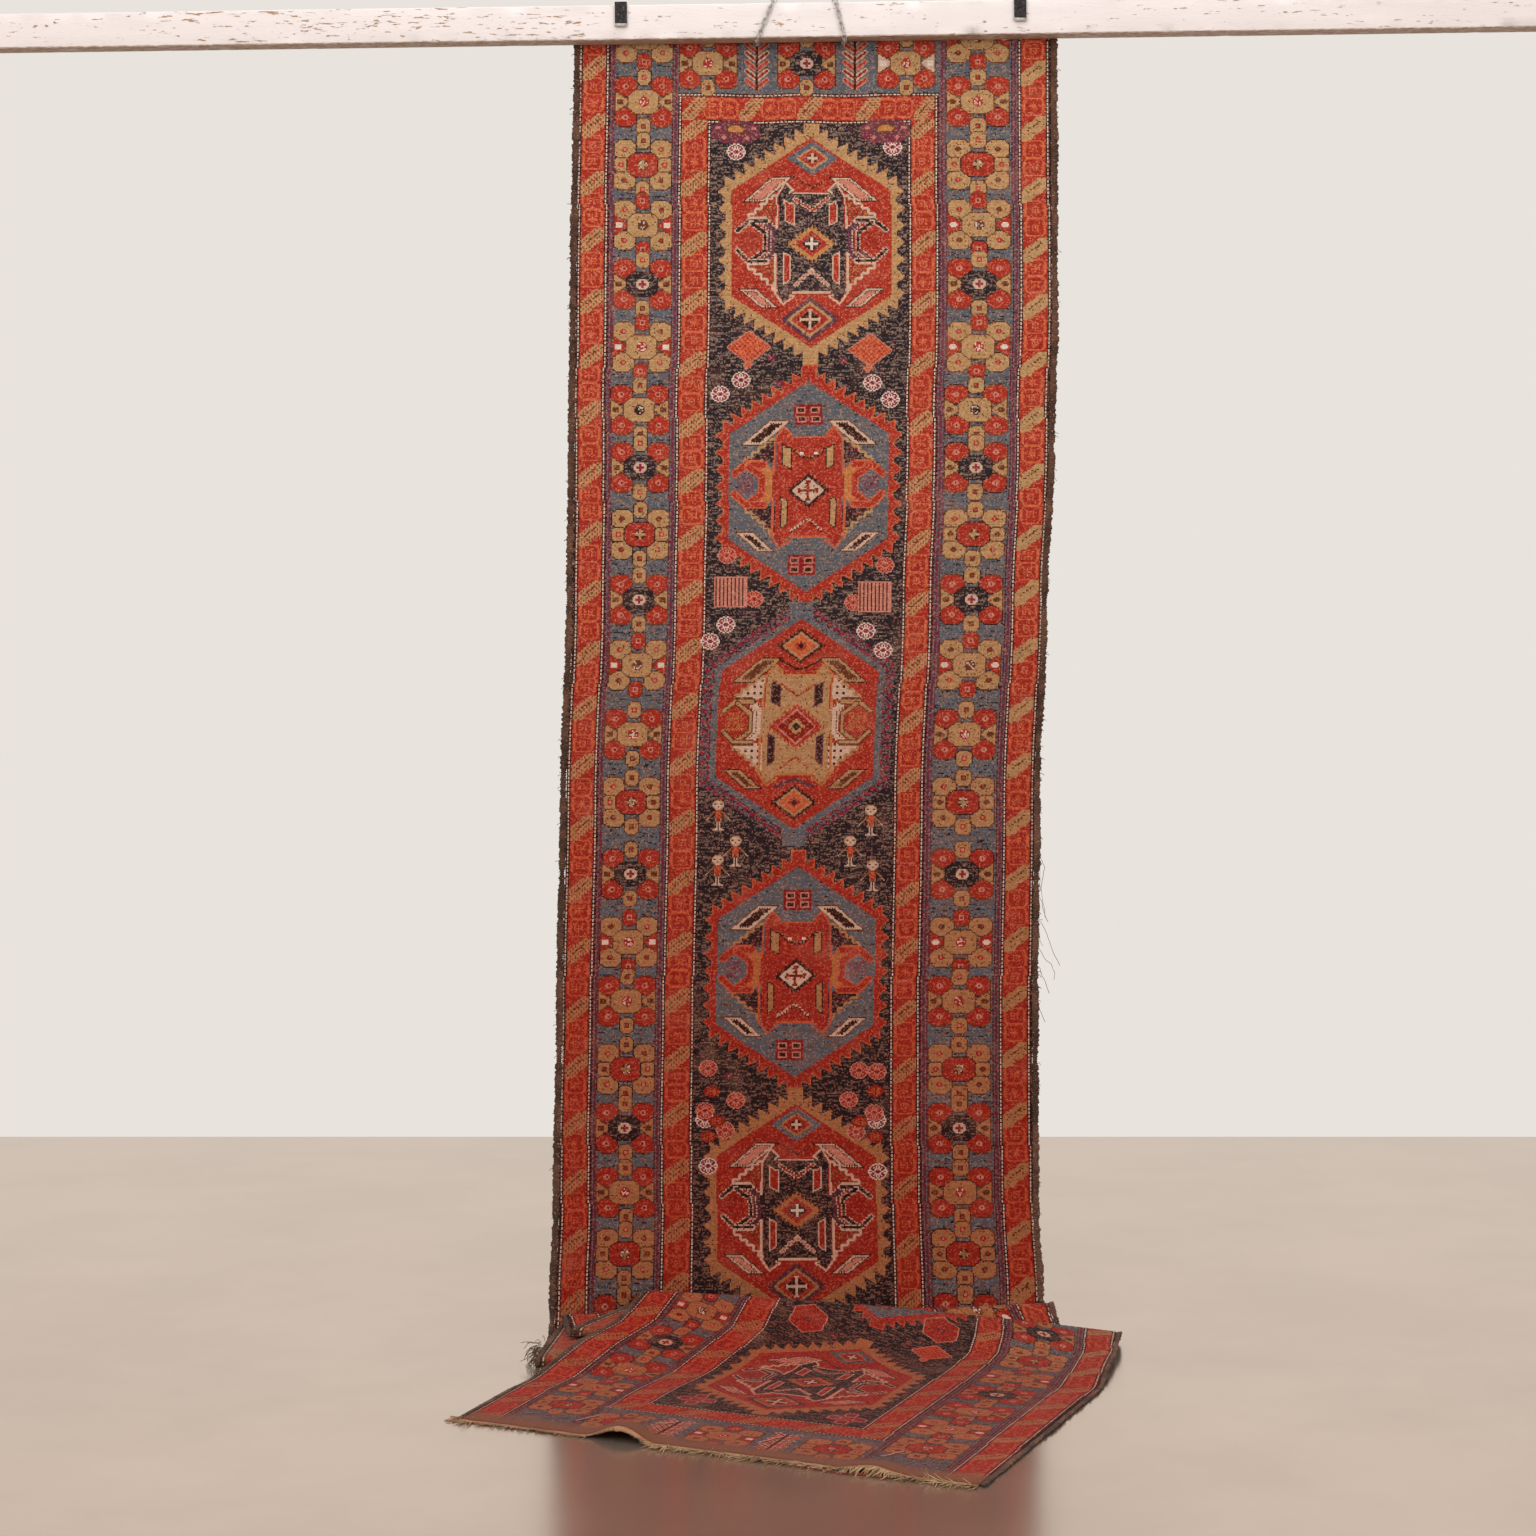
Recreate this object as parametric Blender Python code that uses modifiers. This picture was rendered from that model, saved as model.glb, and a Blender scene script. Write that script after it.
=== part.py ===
"""A Persian village runner that hangs from a painted timber beam and ends in two low folds on the floor.

Frame: metres, +Z up. The viewer stands on the -Y side and looks along +Y, with +X to the right.
The origin is the point inside the sling ring where a hook carries the whole thing.
"""
import random
from math import cos, pi, radians, sin, tan
from typing import NamedTuple

import bmesh
import bpy
from mathutils import Vector

# Heights are measured from the floor up, and the ring hangs this far above it
RING_HEIGHT = 3.100
FLOOR_Z = -RING_HEIGHT

# The woven rug
RUG_THICK = 0.005
HALF_THICK = RUG_THICK / 2
RUG_TOP_HEIGHT = 2.868
SELVEDGE_WIDTH = 0.014
SELVEDGE_GAP = 0.0005
RUG_WIDTH = 1.05
PIECE_GAP = 0.0003

# The timber beam hangs under the ring, and the sheet hangs against its back face
BEAM_LENGTH = 3.66
BEAM_DEPTH = 0.040
BEAM_HEIGHT = 0.075
BEAM_CENTRE_X = -0.093
BEAM_UNDERSIDE_HEIGHT = 2.798
BEAM_SLOPE = radians(0.80)
BEAM_EDGE = 0.0025
BEAM_FRONT_Y = -BEAM_DEPTH / 2
BEAM_BACK_Y = BEAM_DEPTH / 2
SHEET_Y = BEAM_BACK_Y + PIECE_GAP + HALF_THICK

# Flat steel clamps that reach over the beam
CLAMP_WIDTH = 0.026
CLAMP_PLATE = 0.005
CLAMP_FRONT_DROP = 0.043
CLAMP_BACK_DROP = 0.062
CLAMP_X = {"left": -0.409, "right": 0.448}

# Chain slings, as loops of fused links, and the ring that joins them
LINK_PITCH = 0.0150
LINK_RADIUS = 0.0045
LINK_WAIST = 0.0030
SLING_CORNER = 0.008
SLING_HOOP = 0.009
SLING_FOOT_X = {"left": -0.1165, "right": 0.0715}
SLING_TOP_X = {"left": -0.0065, "right": 0.0065}
RING_RADIUS = 0.022
RING_WIRE = 0.004
RING_CENTRE_Z = -(RING_RADIUS - RING_WIRE)
SLING_TOP_Z = RING_CENTRE_Z - RING_RADIUS + RING_WIRE + LINK_RADIUS + PIECE_GAP
SLING_CHORD_ROOM = 0.0004
SLING_ABOVE_BEAM = 0.004
SLING_BULGE = 0.0125
SLING_BULGE_REACH = 0.105
SLING_BULGE_FOOT = 2.1
SLING_BULGE_FADE = 0.6

# The fringed end band, and each strand's two steps: share of its length, slimming, share of the drop
BAND_DEPTH = 0.012
STRAND_COUNT = 90
STRAND_WIDTH = 0.0026
STRAND_LENGTH = (0.014, 0.030)
STRAND_LEAN = 0.007
STRAND_STEPS = ((0.45, 0.75, 0.35), (0.55, 0.45, 0.45))
FRINGE_SEED = 7

# Grid of the sheet: columns across it, rows down the hanging stretch, and points in each turn
SHEET_COLUMNS = 20
HANGING_ROWS = 20
TURN_STEPS = 4
FLOOR_RUN_STEPS = 9
NORMAL_SPAN = 0.004
HANGING_FOOT_HEIGHT = 0.120
FLAT_TO_HEIGHT = 2.765
CORNER_SHARE = 0.48
SMOOTH_ANGLE = radians(50)

# Soft waves of the hanging sheet: two depths, the curl of the long edges, and how fast they fade in
BROAD_WAVE = 0.007
NARROW_WAVE = 0.003
EDGE_CURL = 0.006
WAVE_FADE = 0.5


class Level(NamedTuple):
    """Where the two long edges of the hanging sheet are, at one height above the floor."""

    height: float
    left_x: float
    right_x: float


class Fold(NamedTuple):
    """One bend of the sheet: its radius, and its place at the left edge, the middle and the right.

    Each place is x, y and the height above the floor of the sheet's underside where it lies level.
    The second bend of a pair has no straight run before it, so its steps_before is 0.
    """

    name: str
    radius: float
    steps_before: int
    left: tuple
    middle: tuple
    right: tuple


class Lift(NamedTuple):
    """A place where the lying end rises off the floor: share of the width, distance from the end."""

    across: float
    back: float
    reach_across: float
    reach_back: float
    height: float


LEVELS = [
    Level(2.90, -0.512, 0.531),
    Level(2.81, -0.513, 0.533),
    Level(2.24, -0.522, 0.535),
    Level(1.92, -0.526, 0.528),
    Level(1.59, -0.530, 0.513),
    Level(1.16, -0.543, 0.497),
    Level(0.73, -0.551, 0.492),
    Level(0.29, -0.559, 0.494),
    Level(0.08, -0.567, 0.505),
]

FOLDS = [
    Fold("heel", 0.045, 2, (-0.569, 0.000, 0.000), (-0.030, 0.000, 0.000), (0.507, -0.004, 0.000)),
    Fold("tuck_low", 0.008, 2, (-0.575, -0.280, 0.000), (-0.033, -0.125, 0.000), (0.510, -0.036, 0.000)),
    Fold("tuck_high", 0.008, 0, (-0.575, -0.280, 0.016), (-0.033, -0.125, 0.016), (0.510, -0.036, 0.016)),
    Fold("ridge_back", 0.009, 2, (-0.539, -0.040, 0.036), (-0.008, -0.033, 0.045), (0.521, -0.016, 0.074)),
    Fold("ridge_front", 0.009, 0, (-0.539, -0.042, 0.055), (-0.008, -0.038, 0.063), (0.523, -0.036, 0.074)),
    Fold("apron", 0.012, 1, (-0.529, -0.100, 0.046), (0.027, -0.075, 0.041), (0.544, -0.068, 0.004)),
    Fold("pleat_low", 0.008, 1, (-0.513, -0.170, 0.035), (0.077, -0.112, 0.026), (0.592, -0.135, 0.000)),
    Fold("pleat_high", 0.008, 0, (-0.513, -0.170, 0.051), (0.077, -0.112, 0.045), (0.592, -0.135, 0.016)),
    Fold("crest_low", 0.010, 2, (-0.361, -0.050, 0.090), (0.152, -0.060, 0.058), (0.665, -0.068, 0.001)),
    Fold("crest_high", 0.010, 0, (-0.361, -0.050, 0.110), (0.152, -0.060, 0.078), (0.665, -0.068, 0.021)),
    Fold("knee", 0.060, 1, (-0.418, -0.160, 0.066), (0.132, -0.150, 0.038), (0.650, -0.150, 0.025)),
    Fold("shin", 0.080, 1, (-0.493, -0.235, 0.042), (0.107, -0.210, 0.016), (0.635, -0.215, 0.009)),
    Fold("toe", 0.120, 1, (-0.578, -0.385, 0.001), (0.057, -0.300, 0.000), (0.612, -0.300, 0.000)),
    Fold("turn", 0.200, 2, (-0.617, -0.473, 0.000), (-0.020, -0.461, 0.000), (0.576, -0.450, 0.000)),
    Fold("end", 0.0, FLOOR_RUN_STEPS, (-0.687, -0.673, 0.0), (-0.201, -0.888, 0.0), (0.284, -1.104, 0.0)),
]

LIFTS = [
    Lift(0.330, 0.00, 0.075, 0.190, 0.024),
    Lift(0.800, 0.00, 0.070, 0.110, 0.010),
    Lift(1.000, 0.86, 0.110, 0.160, 0.012),
]


def clear_scene():
    """Remove every object that the new file holds."""
    for old in list(bpy.data.objects):
        bpy.data.objects.remove(old, do_unlink=True)


def make_collection(name):
    """Make a collection and link it to the scene."""
    collection = bpy.data.collections.new(name)
    bpy.context.scene.collection.children.link(collection)
    return collection


def make_material(name, colour, roughness, metallic=0.0):
    """Make a plain Principled material."""
    material = bpy.data.materials.new(name)
    material.use_nodes = True
    shader = material.node_tree.nodes["Principled BSDF"]
    shader.inputs["Base Color"].default_value = (*colour, 1.0)
    shader.inputs["Roughness"].default_value = roughness
    shader.inputs["Metallic"].default_value = metallic
    return material


def add_part(collection, name, mesh, material, smooth_angle=None):
    """Link a mesh as the named part, with its material."""
    part = bpy.data.objects.new(name, mesh)
    collection.objects.link(part)
    part.data.materials.clear()
    part.data.materials.append(material)
    if smooth_angle is not None:
        part.data.shade_smooth()
        part.data.set_sharp_from_angle(angle=smooth_angle)
    return part


def between_three(left, middle, right, share):
    """Parabola through three values, at 0, a half and 1 of the width."""
    weight_left = (1 - share) * (1 - 2 * share)
    weight_middle = 4 * share * (1 - share)
    weight_right = share * (2 * share - 1)
    return weight_left * left + weight_middle * middle + weight_right * right


def fold_point(fold, share):
    """A fold's corner at a share of the width."""
    left, middle, right = (Vector(place) for place in (fold.left, fold.middle, fold.right))
    return between_three(left, middle, right, share) + Vector((0, 0, HALF_THICK))


def level_edges(height):
    """Left and right edge of the hanging sheet at a height, eased between the table's levels."""
    inside = min(max(height, LEVELS[-1].height), LEVELS[0].height)
    for upper, lower in zip(LEVELS, LEVELS[1:]):
        if inside >= lower.height:
            share = (upper.height - inside) / (upper.height - lower.height)
            eased = share * share * (3 - 2 * share)
            left = upper.left_x + (lower.left_x - upper.left_x) * eased
            right = upper.right_x + (lower.right_x - upper.right_x) * eased
            return left, right
    return LEVELS[-1].left_x, LEVELS[-1].right_x


def raised_cosine(distance, reach):
    """A soft bump that is 1 in the middle and 0 from its reach outwards."""
    if abs(distance) >= reach:
        return 0.0
    return 0.5 + 0.5 * cos(pi * distance / reach)


def clamped(value):
    """Hold a share between 0 and 1."""
    return min(max(value, 0.0), 1.0)


def hanging_sway(x, share, height):
    """How far the hanging sheet leaves its plane: soft waves, and room for the chains behind the beam."""
    below_beam = clamped((FLAT_TO_HEIGHT - height) / WAVE_FADE)
    above_floor = clamped((height - HANGING_FOOT_HEIGHT) / WAVE_FADE)
    waves = BROAD_WAVE * sin(2 * pi * (1.1 * share + 0.05))
    waves += NARROW_WAVE * sin(2 * pi * (2.3 * share + 0.7 * height))
    edge_curl = EDGE_CURL * (2 * share - 1) ** 4
    bulge = sum(raised_cosine(x - foot, SLING_BULGE_REACH) for foot in SLING_FOOT_X.values())
    bulge_fade = clamped((height - SLING_BULGE_FOOT) / SLING_BULGE_FADE)
    return below_beam * above_floor * (waves - edge_curl) + SLING_BULGE * clamped(bulge) * bulge_fade


def hanging_point(share, height):
    """A point of the sheet's middle surface on its hanging stretch."""
    left, right = level_edges(height)
    x = left + (right - left) * share
    return Vector((x, hanging_sway(x, share, height), height))


def turn_points(before, corner, after, radius, steps):
    """Points of the arc that rounds a corner between two straight runs."""
    to_before = before - corner
    to_after = after - corner
    room = CORNER_SHARE * min(to_before.length, to_after.length)
    to_before.normalize()
    to_after.normalize()
    half_angle = to_before.angle(to_after) / 2
    cut = min(radius / tan(half_angle), room)
    radius = cut * tan(half_angle)
    middle = (to_before + to_after).normalized()
    centre = corner + middle * (radius / sin(half_angle))
    start = corner + to_before * cut - centre
    sweep = pi - 2 * half_angle
    side = (corner + to_after * cut - centre) - start * cos(sweep)
    side = side.normalized() * radius
    return [centre + start * cos(sweep * k / steps) + side * sin(sweep * k / steps) for k in range(steps + 1)]


def lift_height(share, back):
    """How far the lying end rises off the floor at a place."""
    height = 0.0
    for lift in LIFTS:
        across = raised_cosine(share - lift.across, lift.reach_across)
        height += lift.height * across * raised_cosine(back - lift.back, lift.reach_back)
    return height


def sheet_column(share):
    """The middle surface from the top edge to the end, at a share of the width, as a list of points."""
    heights = [RUG_TOP_HEIGHT, (RUG_TOP_HEIGHT + FLAT_TO_HEIGHT) / 2]
    heights += [FLAT_TO_HEIGHT + (HANGING_FOOT_HEIGHT - FLAT_TO_HEIGHT) * k / HANGING_ROWS
                for k in range(HANGING_ROWS + 1)]
    points = [hanging_point(share, height) for height in heights]
    corners = [points[-1]] + [fold_point(fold, share) for fold in FOLDS]
    for index, fold in enumerate(FOLDS, start=1):
        if index < len(FOLDS):
            arc = turn_points(corners[index - 1], corners[index], corners[index + 1], fold.radius, TURN_STEPS)
        else:
            arc = [corners[index]]
        if fold.steps_before == 0:
            arc = arc[1:]
        last = points[-1]
        points += [last.lerp(arc[0], k / fold.steps_before) for k in range(1, fold.steps_before)]
        points += arc
    return lift_column(points, share)


def lift_column(points, share):
    """Raise a column's last stretch by the lifts, which are placed by the distance from the end."""
    back = 0.0
    lifted = [points[-1] + Vector((0, 0, lift_height(share, 0.0)))]
    for near, far in zip(reversed(points), reversed(points[:-1])):
        back += (near - far).length
        lifted.append(far + Vector((0, 0, lift_height(share, back))))
    return list(reversed(lifted))


def column_normals(share):
    """Normals of the sheet's face side, which looks at the viewer where the sheet hangs."""
    column, left, right = (sheet_column(share + shift) for shift in (0.0, -NORMAL_SPAN, NORMAL_SPAN))
    normals = []
    for j in range(len(column)):
        across = right[j] - left[j]
        down = column[min(j + 1, len(column) - 1)] - column[max(j - 1, 0)]
        normals.append(down.cross(across).normalized())
    return normals


def to_world(point):
    """The tables measure y from the hanging sheet and heights from the floor."""
    return Vector((point.x, point.y + SHEET_Y, point.z + FLOOR_Z))


def slab_mesh(name, shares):
    """Close a sheet: its face and its back, half the thickness away, joined around the rim."""
    grid = [sheet_column(share) for share in shares]
    normals = [column_normals(share) for share in shares]
    shape = bmesh.new()
    columns, rows = len(grid), len(grid[0])
    sides = []
    for offset in (HALF_THICK, -HALF_THICK):
        sides.append([[shape.verts.new(to_world(grid[i][j] + normals[i][j] * offset)) for j in range(rows)]
                      for i in range(columns)])
    front, back = sides
    for i in range(columns - 1):
        for j in range(rows - 1):
            shape.faces.new((front[i][j], front[i][j + 1], front[i + 1][j + 1], front[i + 1][j]))
            shape.faces.new((back[i][j], back[i + 1][j], back[i + 1][j + 1], back[i][j + 1]))
    for i in (0, columns - 1):
        for j in range(rows - 1):
            shape.faces.new((front[i][j], front[i][j + 1], back[i][j]))
            shape.faces.new((front[i][j + 1], back[i][j + 1], back[i][j]))
    for i in range(columns - 1):
        for j in (0, rows - 1):
            shape.faces.new((front[i][j], front[i + 1][j], back[i + 1][j], back[i][j]))
    bmesh.ops.recalc_face_normals(shape, faces=shape.faces)
    mesh = bpy.data.meshes.new(name)
    shape.to_mesh(mesh)
    shape.free()
    return mesh


def build_rug(collection, wool, goat_hair):
    """The knotted body, and the overcast selvedge along each long side."""
    edge = SELVEDGE_WIDTH / RUG_WIDTH
    body_edge = edge + SELVEDGE_GAP / RUG_WIDTH
    shares = [body_edge + (1 - 2 * body_edge) * k / SHEET_COLUMNS for k in range(SHEET_COLUMNS + 1)]
    body = slab_mesh("rug", shares)
    add_part(collection, "rug", body, wool, SMOOTH_ANGLE)
    for side, shares in (("left", [0.0, edge]), ("right", [1 - edge, 1.0])):
        name = f"selvedge_{side}"
        band = slab_mesh(name, shares)
        add_part(collection, name, band, goat_hair, SMOOTH_ANGLE)


def end_direction(share):
    """Unit direction, level, in which the lying end points."""
    column = sheet_column(share)
    ahead = column[-1] - column[-3]
    return Vector((ahead.x, ahead.y, 0.0)).normalized()


def end_point(share, beyond):
    """A point of the middle surface that lies past the rug's end."""
    return sheet_column(share)[-1] + end_direction(share) * beyond


def build_fringe(collection, yarn):
    """The end band, with cut warp ends that stand out of its front edge and come down to the floor."""
    spread = random.Random(FRINGE_SEED)
    shape = bmesh.new()
    pitch = 1.0 / STRAND_COUNT
    half = STRAND_WIDTH / RUG_WIDTH / 2
    shares = [0.0]
    for k in range(STRAND_COUNT):
        centre = (k + 0.5) * pitch
        shares += [centre - half, centre + half]
    shares.append(1.0)
    rings = []
    for share in shares:
        near = end_point(share, PIECE_GAP)
        far = end_point(share, PIECE_GAP + BAND_DEPTH)
        up = Vector((0, 0, HALF_THICK))
        rings.append([shape.verts.new(to_world(p)) for p in (near - up, far - up, far + up, near + up)])
    strand_faces = []
    for index, (ring, after) in enumerate(zip(rings, rings[1:])):
        for k in range(4):
            face = shape.faces.new((ring[k], ring[(k + 1) % 4], after[(k + 1) % 4], after[k]))
            if k == 1 and index % 2 == 1:
                strand_faces.append((index, face))
    shape.faces.new(rings[0])
    shape.faces.new(list(reversed(rings[-1])))
    bmesh.ops.recalc_face_normals(shape, faces=shape.faces)
    for index, face in strand_faces:
        share = (shares[index] + shares[index + 1]) / 2
        ahead = end_direction(share)
        sideways = Vector((-ahead.y, ahead.x, 0.0)) * spread.uniform(-STRAND_LEAN, STRAND_LEAN)
        length = spread.uniform(*STRAND_LENGTH)
        for length_share, slimness, drop_share in STRAND_STEPS:
            face = bmesh.ops.extrude_discrete_faces(shape, faces=[face])["faces"][0]
            centre = face.calc_center_median()
            target = centre + (ahead * length + sideways) * length_share
            target.z -= (centre.z - FLOOR_Z) * drop_share
            lowest = min((vert.co - centre).z for vert in face.verts) * slimness
            target.z = max(target.z, FLOOR_Z - lowest)
            for vert in face.verts:
                vert.co = target + (vert.co - centre) * slimness
    mesh = bpy.data.meshes.new("end_fringe")
    shape.to_mesh(mesh)
    shape.free()
    add_part(collection, "end_fringe", mesh, yarn)


def beam_height(x, above):
    """Height under the ring of a point that lies above the sloping beam's underside."""
    return BEAM_UNDERSIDE_HEIGHT + FLOOR_Z + above + (x - BEAM_CENTRE_X) * tan(BEAM_SLOPE)


def build_beam(collection, paint):
    """One sawn timber with its long edges eased."""
    shape = bmesh.new()
    bmesh.ops.create_cube(shape, size=1.0)
    bmesh.ops.scale(shape, vec=(BEAM_LENGTH, BEAM_DEPTH, BEAM_HEIGHT), verts=shape.verts)
    mesh = bpy.data.meshes.new("beam")
    shape.to_mesh(mesh)
    shape.free()
    beam = add_part(collection, "beam", mesh, paint)
    beam.location = (BEAM_CENTRE_X, 0, beam_height(BEAM_CENTRE_X, BEAM_HEIGHT / 2))
    beam.rotation_euler = (0, -BEAM_SLOPE, 0)
    eased = beam.modifiers.new("eased edges", "BEVEL")
    eased.width = BEAM_EDGE
    eased.segments = 2


def build_clamps(collection, steel):
    """Each clamp is a flat bar bent over the beam: a flat outline seen from the beam's end, extruded."""
    inner_front = BEAM_FRONT_Y - PIECE_GAP
    inner_back = SHEET_Y + HALF_THICK + PIECE_GAP
    for side, x in CLAMP_X.items():
        outline = [
            (inner_front - CLAMP_PLATE, -CLAMP_FRONT_DROP),
            (inner_front, -CLAMP_FRONT_DROP),
            (inner_front, PIECE_GAP),
            (inner_back, PIECE_GAP),
            (inner_back, -CLAMP_BACK_DROP),
            (inner_back + CLAMP_PLATE, -CLAMP_BACK_DROP),
            (inner_back + CLAMP_PLATE, PIECE_GAP + CLAMP_PLATE),
            (inner_front - CLAMP_PLATE, PIECE_GAP + CLAMP_PLATE),
        ]
        name = f"clamp_{side}"
        curve = bpy.data.curves.new(name, "CURVE")
        curve.dimensions = "2D"
        curve.fill_mode = "BOTH"
        curve.extrude = CLAMP_WIDTH / 2
        spline = curve.splines.new("POLY")
        spline.points.add(len(outline) - 1)
        for point, (y, z) in zip(spline.points, outline):
            point.co = (y, z, 0, 1)
        spline.use_cyclic_u = True
        clamp = bpy.data.objects.new(name, curve)
        collection.objects.link(clamp)
        curve.materials.append(steel)
        clamp.location = (x, 0, beam_height(x, BEAM_HEIGHT / cos(BEAM_SLOPE)))
        clamp.rotation_mode = "XZY"
        clamp.rotation_euler = (radians(90), -BEAM_SLOPE, radians(90))


def sling_route(side):
    """The closed route of one sling: from the ring down the front, under the beam and up behind it."""
    top_x, foot_x = SLING_TOP_X[side], SLING_FOOT_X[side]
    stand = LINK_RADIUS + PIECE_GAP
    front_y = BEAM_FRONT_Y - stand
    back_y = BEAM_BACK_Y + stand
    underside = beam_height(foot_x, 0.0) - stand / cos(BEAM_SLOPE) - SLING_CHORD_ROOM
    above_beam = beam_height(foot_x, BEAM_HEIGHT) + SLING_ABOVE_BEAM

    def at(y, z):
        share = (SLING_TOP_Z - z) / (SLING_TOP_Z - underside)
        return Vector((top_x + (foot_x - top_x) * share, y, z))

    corners = [
        at(-SLING_HOOP, SLING_TOP_Z),
        at(front_y, above_beam),
        at(front_y, underside),
        at(back_y, underside),
        at(back_y, above_beam),
        at(SLING_HOOP, SLING_TOP_Z),
    ]
    route = []
    for k, corner in enumerate(corners):
        before, after = corners[k - 1], corners[(k + 1) % len(corners)]
        route += turn_points(before, corner, after, SLING_CORNER, TURN_STEPS)
    return route


def even_steps(route, count):
    """A closed route walked in equal steps."""
    closed = route + route[:1]
    lengths = [0.0]
    for near, far in zip(closed, closed[1:]):
        lengths.append(lengths[-1] + (far - near).length)
    points = []
    index = 0
    for k in range(count):
        target = lengths[-1] * k / count
        while lengths[index + 1] < target:
            index += 1
        share = (target - lengths[index]) / (lengths[index + 1] - lengths[index])
        points.append(closed[index].lerp(closed[index + 1], share))
    return points, lengths[-1]


def build_slings(collection, zinc):
    """Two chain loops, each a tube that swells at every link, and the round ring above them."""
    for side in ("left", "right"):
        route = sling_route(side)
        length = even_steps(route, 2)[1]
        links = round(length / LINK_PITCH)
        points = even_steps(route, 2 * links)[0]
        name = f"sling_{side}"
        curve = bpy.data.curves.new(name, "CURVE")
        curve.dimensions = "3D"
        curve.bevel_depth = LINK_RADIUS
        curve.bevel_resolution = 0
        curve.use_fill_caps = True
        spline = curve.splines.new("POLY")
        spline.points.add(len(points) - 1)
        for k, (point, place) in enumerate(zip(spline.points, points)):
            point.co = (*place, 1)
            point.radius = 1.0 if k % 2 else LINK_WAIST / LINK_RADIUS
        spline.use_cyclic_u = True
        sling = bpy.data.objects.new(name, curve)
        collection.objects.link(sling)
        curve.materials.append(zinc)
    bpy.ops.mesh.primitive_torus_add(
        major_radius=RING_RADIUS, minor_radius=RING_WIRE, major_segments=20, minor_segments=8,
        location=(0, 0, RING_CENTRE_Z), rotation=(radians(90), 0, 0))
    ring = bpy.context.active_object
    ring.name = "ring"
    ring.data.materials.append(zinc)
    ring.data.shade_smooth()
    for holder in list(ring.users_collection):
        holder.objects.unlink(ring)
    collection.objects.link(ring)


def main():
    """Build every part of the hanging runner."""
    clear_scene()
    collection = make_collection("persian_runner_rug")
    wool = make_material("madder red wool", (0.42, 0.07, 0.035), 0.92)
    goat_hair = make_material("dark goat hair", (0.045, 0.028, 0.020), 0.95)
    yarn = make_material("undyed cotton warp", (0.52, 0.42, 0.29), 0.95)
    paint = make_material("old white paint", (0.80, 0.75, 0.70), 0.65)
    steel = make_material("blackened steel", (0.03, 0.03, 0.032), 0.45, 0.9)
    zinc = make_material("zinc plated steel", (0.55, 0.56, 0.57), 0.35, 1.0)
    build_rug(collection, wool, goat_hair)
    build_fringe(collection, yarn)
    build_beam(collection, paint)
    build_clamps(collection, steel)
    build_slings(collection, zinc)


main()
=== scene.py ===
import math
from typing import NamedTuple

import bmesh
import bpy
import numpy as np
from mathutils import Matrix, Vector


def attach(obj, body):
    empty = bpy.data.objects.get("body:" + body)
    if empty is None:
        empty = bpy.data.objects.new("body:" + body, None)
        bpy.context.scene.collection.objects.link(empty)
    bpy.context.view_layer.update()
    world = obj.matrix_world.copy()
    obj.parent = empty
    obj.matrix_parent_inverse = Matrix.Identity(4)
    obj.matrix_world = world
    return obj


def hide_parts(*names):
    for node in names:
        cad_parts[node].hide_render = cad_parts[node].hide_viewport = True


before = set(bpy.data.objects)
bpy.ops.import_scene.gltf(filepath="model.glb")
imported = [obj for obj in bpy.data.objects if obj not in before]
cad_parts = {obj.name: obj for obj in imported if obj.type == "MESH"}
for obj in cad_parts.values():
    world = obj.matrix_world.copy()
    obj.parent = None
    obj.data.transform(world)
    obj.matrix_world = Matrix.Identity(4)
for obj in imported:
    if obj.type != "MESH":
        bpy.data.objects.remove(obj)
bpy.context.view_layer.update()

# %% [markdown]
# # A village runner, hung from a painted beam
#
# The object is a long Persian village rug, about 1.05 m wide and 4.2 m long. Its top hangs behind an
# old white beam, and its lower end lies on the floor in low, uneven folds. The frame that was just
# loaded holds the plain solids. Each step below dresses one of them.
#
# Everything is in metres. The viewer stands on the -Y side, +X is to the right, and the origin is the
# point inside the sling ring where a hook carries the whole thing.

BODY = "root"

# %% [markdown]
# ## The shape of the cloth
#
# A rug is a sheet. It could be draped by simulation, but a photograph fixes where this one lies, so it
# is described instead: two tables say where its long edges hang and where it bends, and a small
# function rounds each bend. One list of points runs from the top edge down, along the floor, up and
# over the folds, and out to the fringed end. It is worked out again for every place across the width.

# %% Levels, folds and lifts of the cloth
FLOOR_Z = -3.100
SHEET_Y = 0.0228
RUG_WIDTH = 1.05
RUG_LENGTH = 4.21
RUG_TOP_HEIGHT = 2.868
HALF_THICK = 0.0025
HANGING_FOOT_HEIGHT = 0.120
FLAT_TO_HEIGHT = 2.765
SLING_FOOT_X = {"left": -0.1165, "right": 0.0715}


class Level(NamedTuple):
    """Where the two long edges hang, at one height above the floor."""

    height: float
    left_x: float
    right_x: float


class Fold(NamedTuple):
    """One bend: its radius, straight steps before it, and its place at left edge, middle and right."""

    name: str
    radius: float
    steps_before: int
    left: tuple
    middle: tuple
    right: tuple


class Lift(NamedTuple):
    """A place where the lying end rises off the floor."""

    across: float
    back: float
    reach_across: float
    reach_back: float
    height: float


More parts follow.
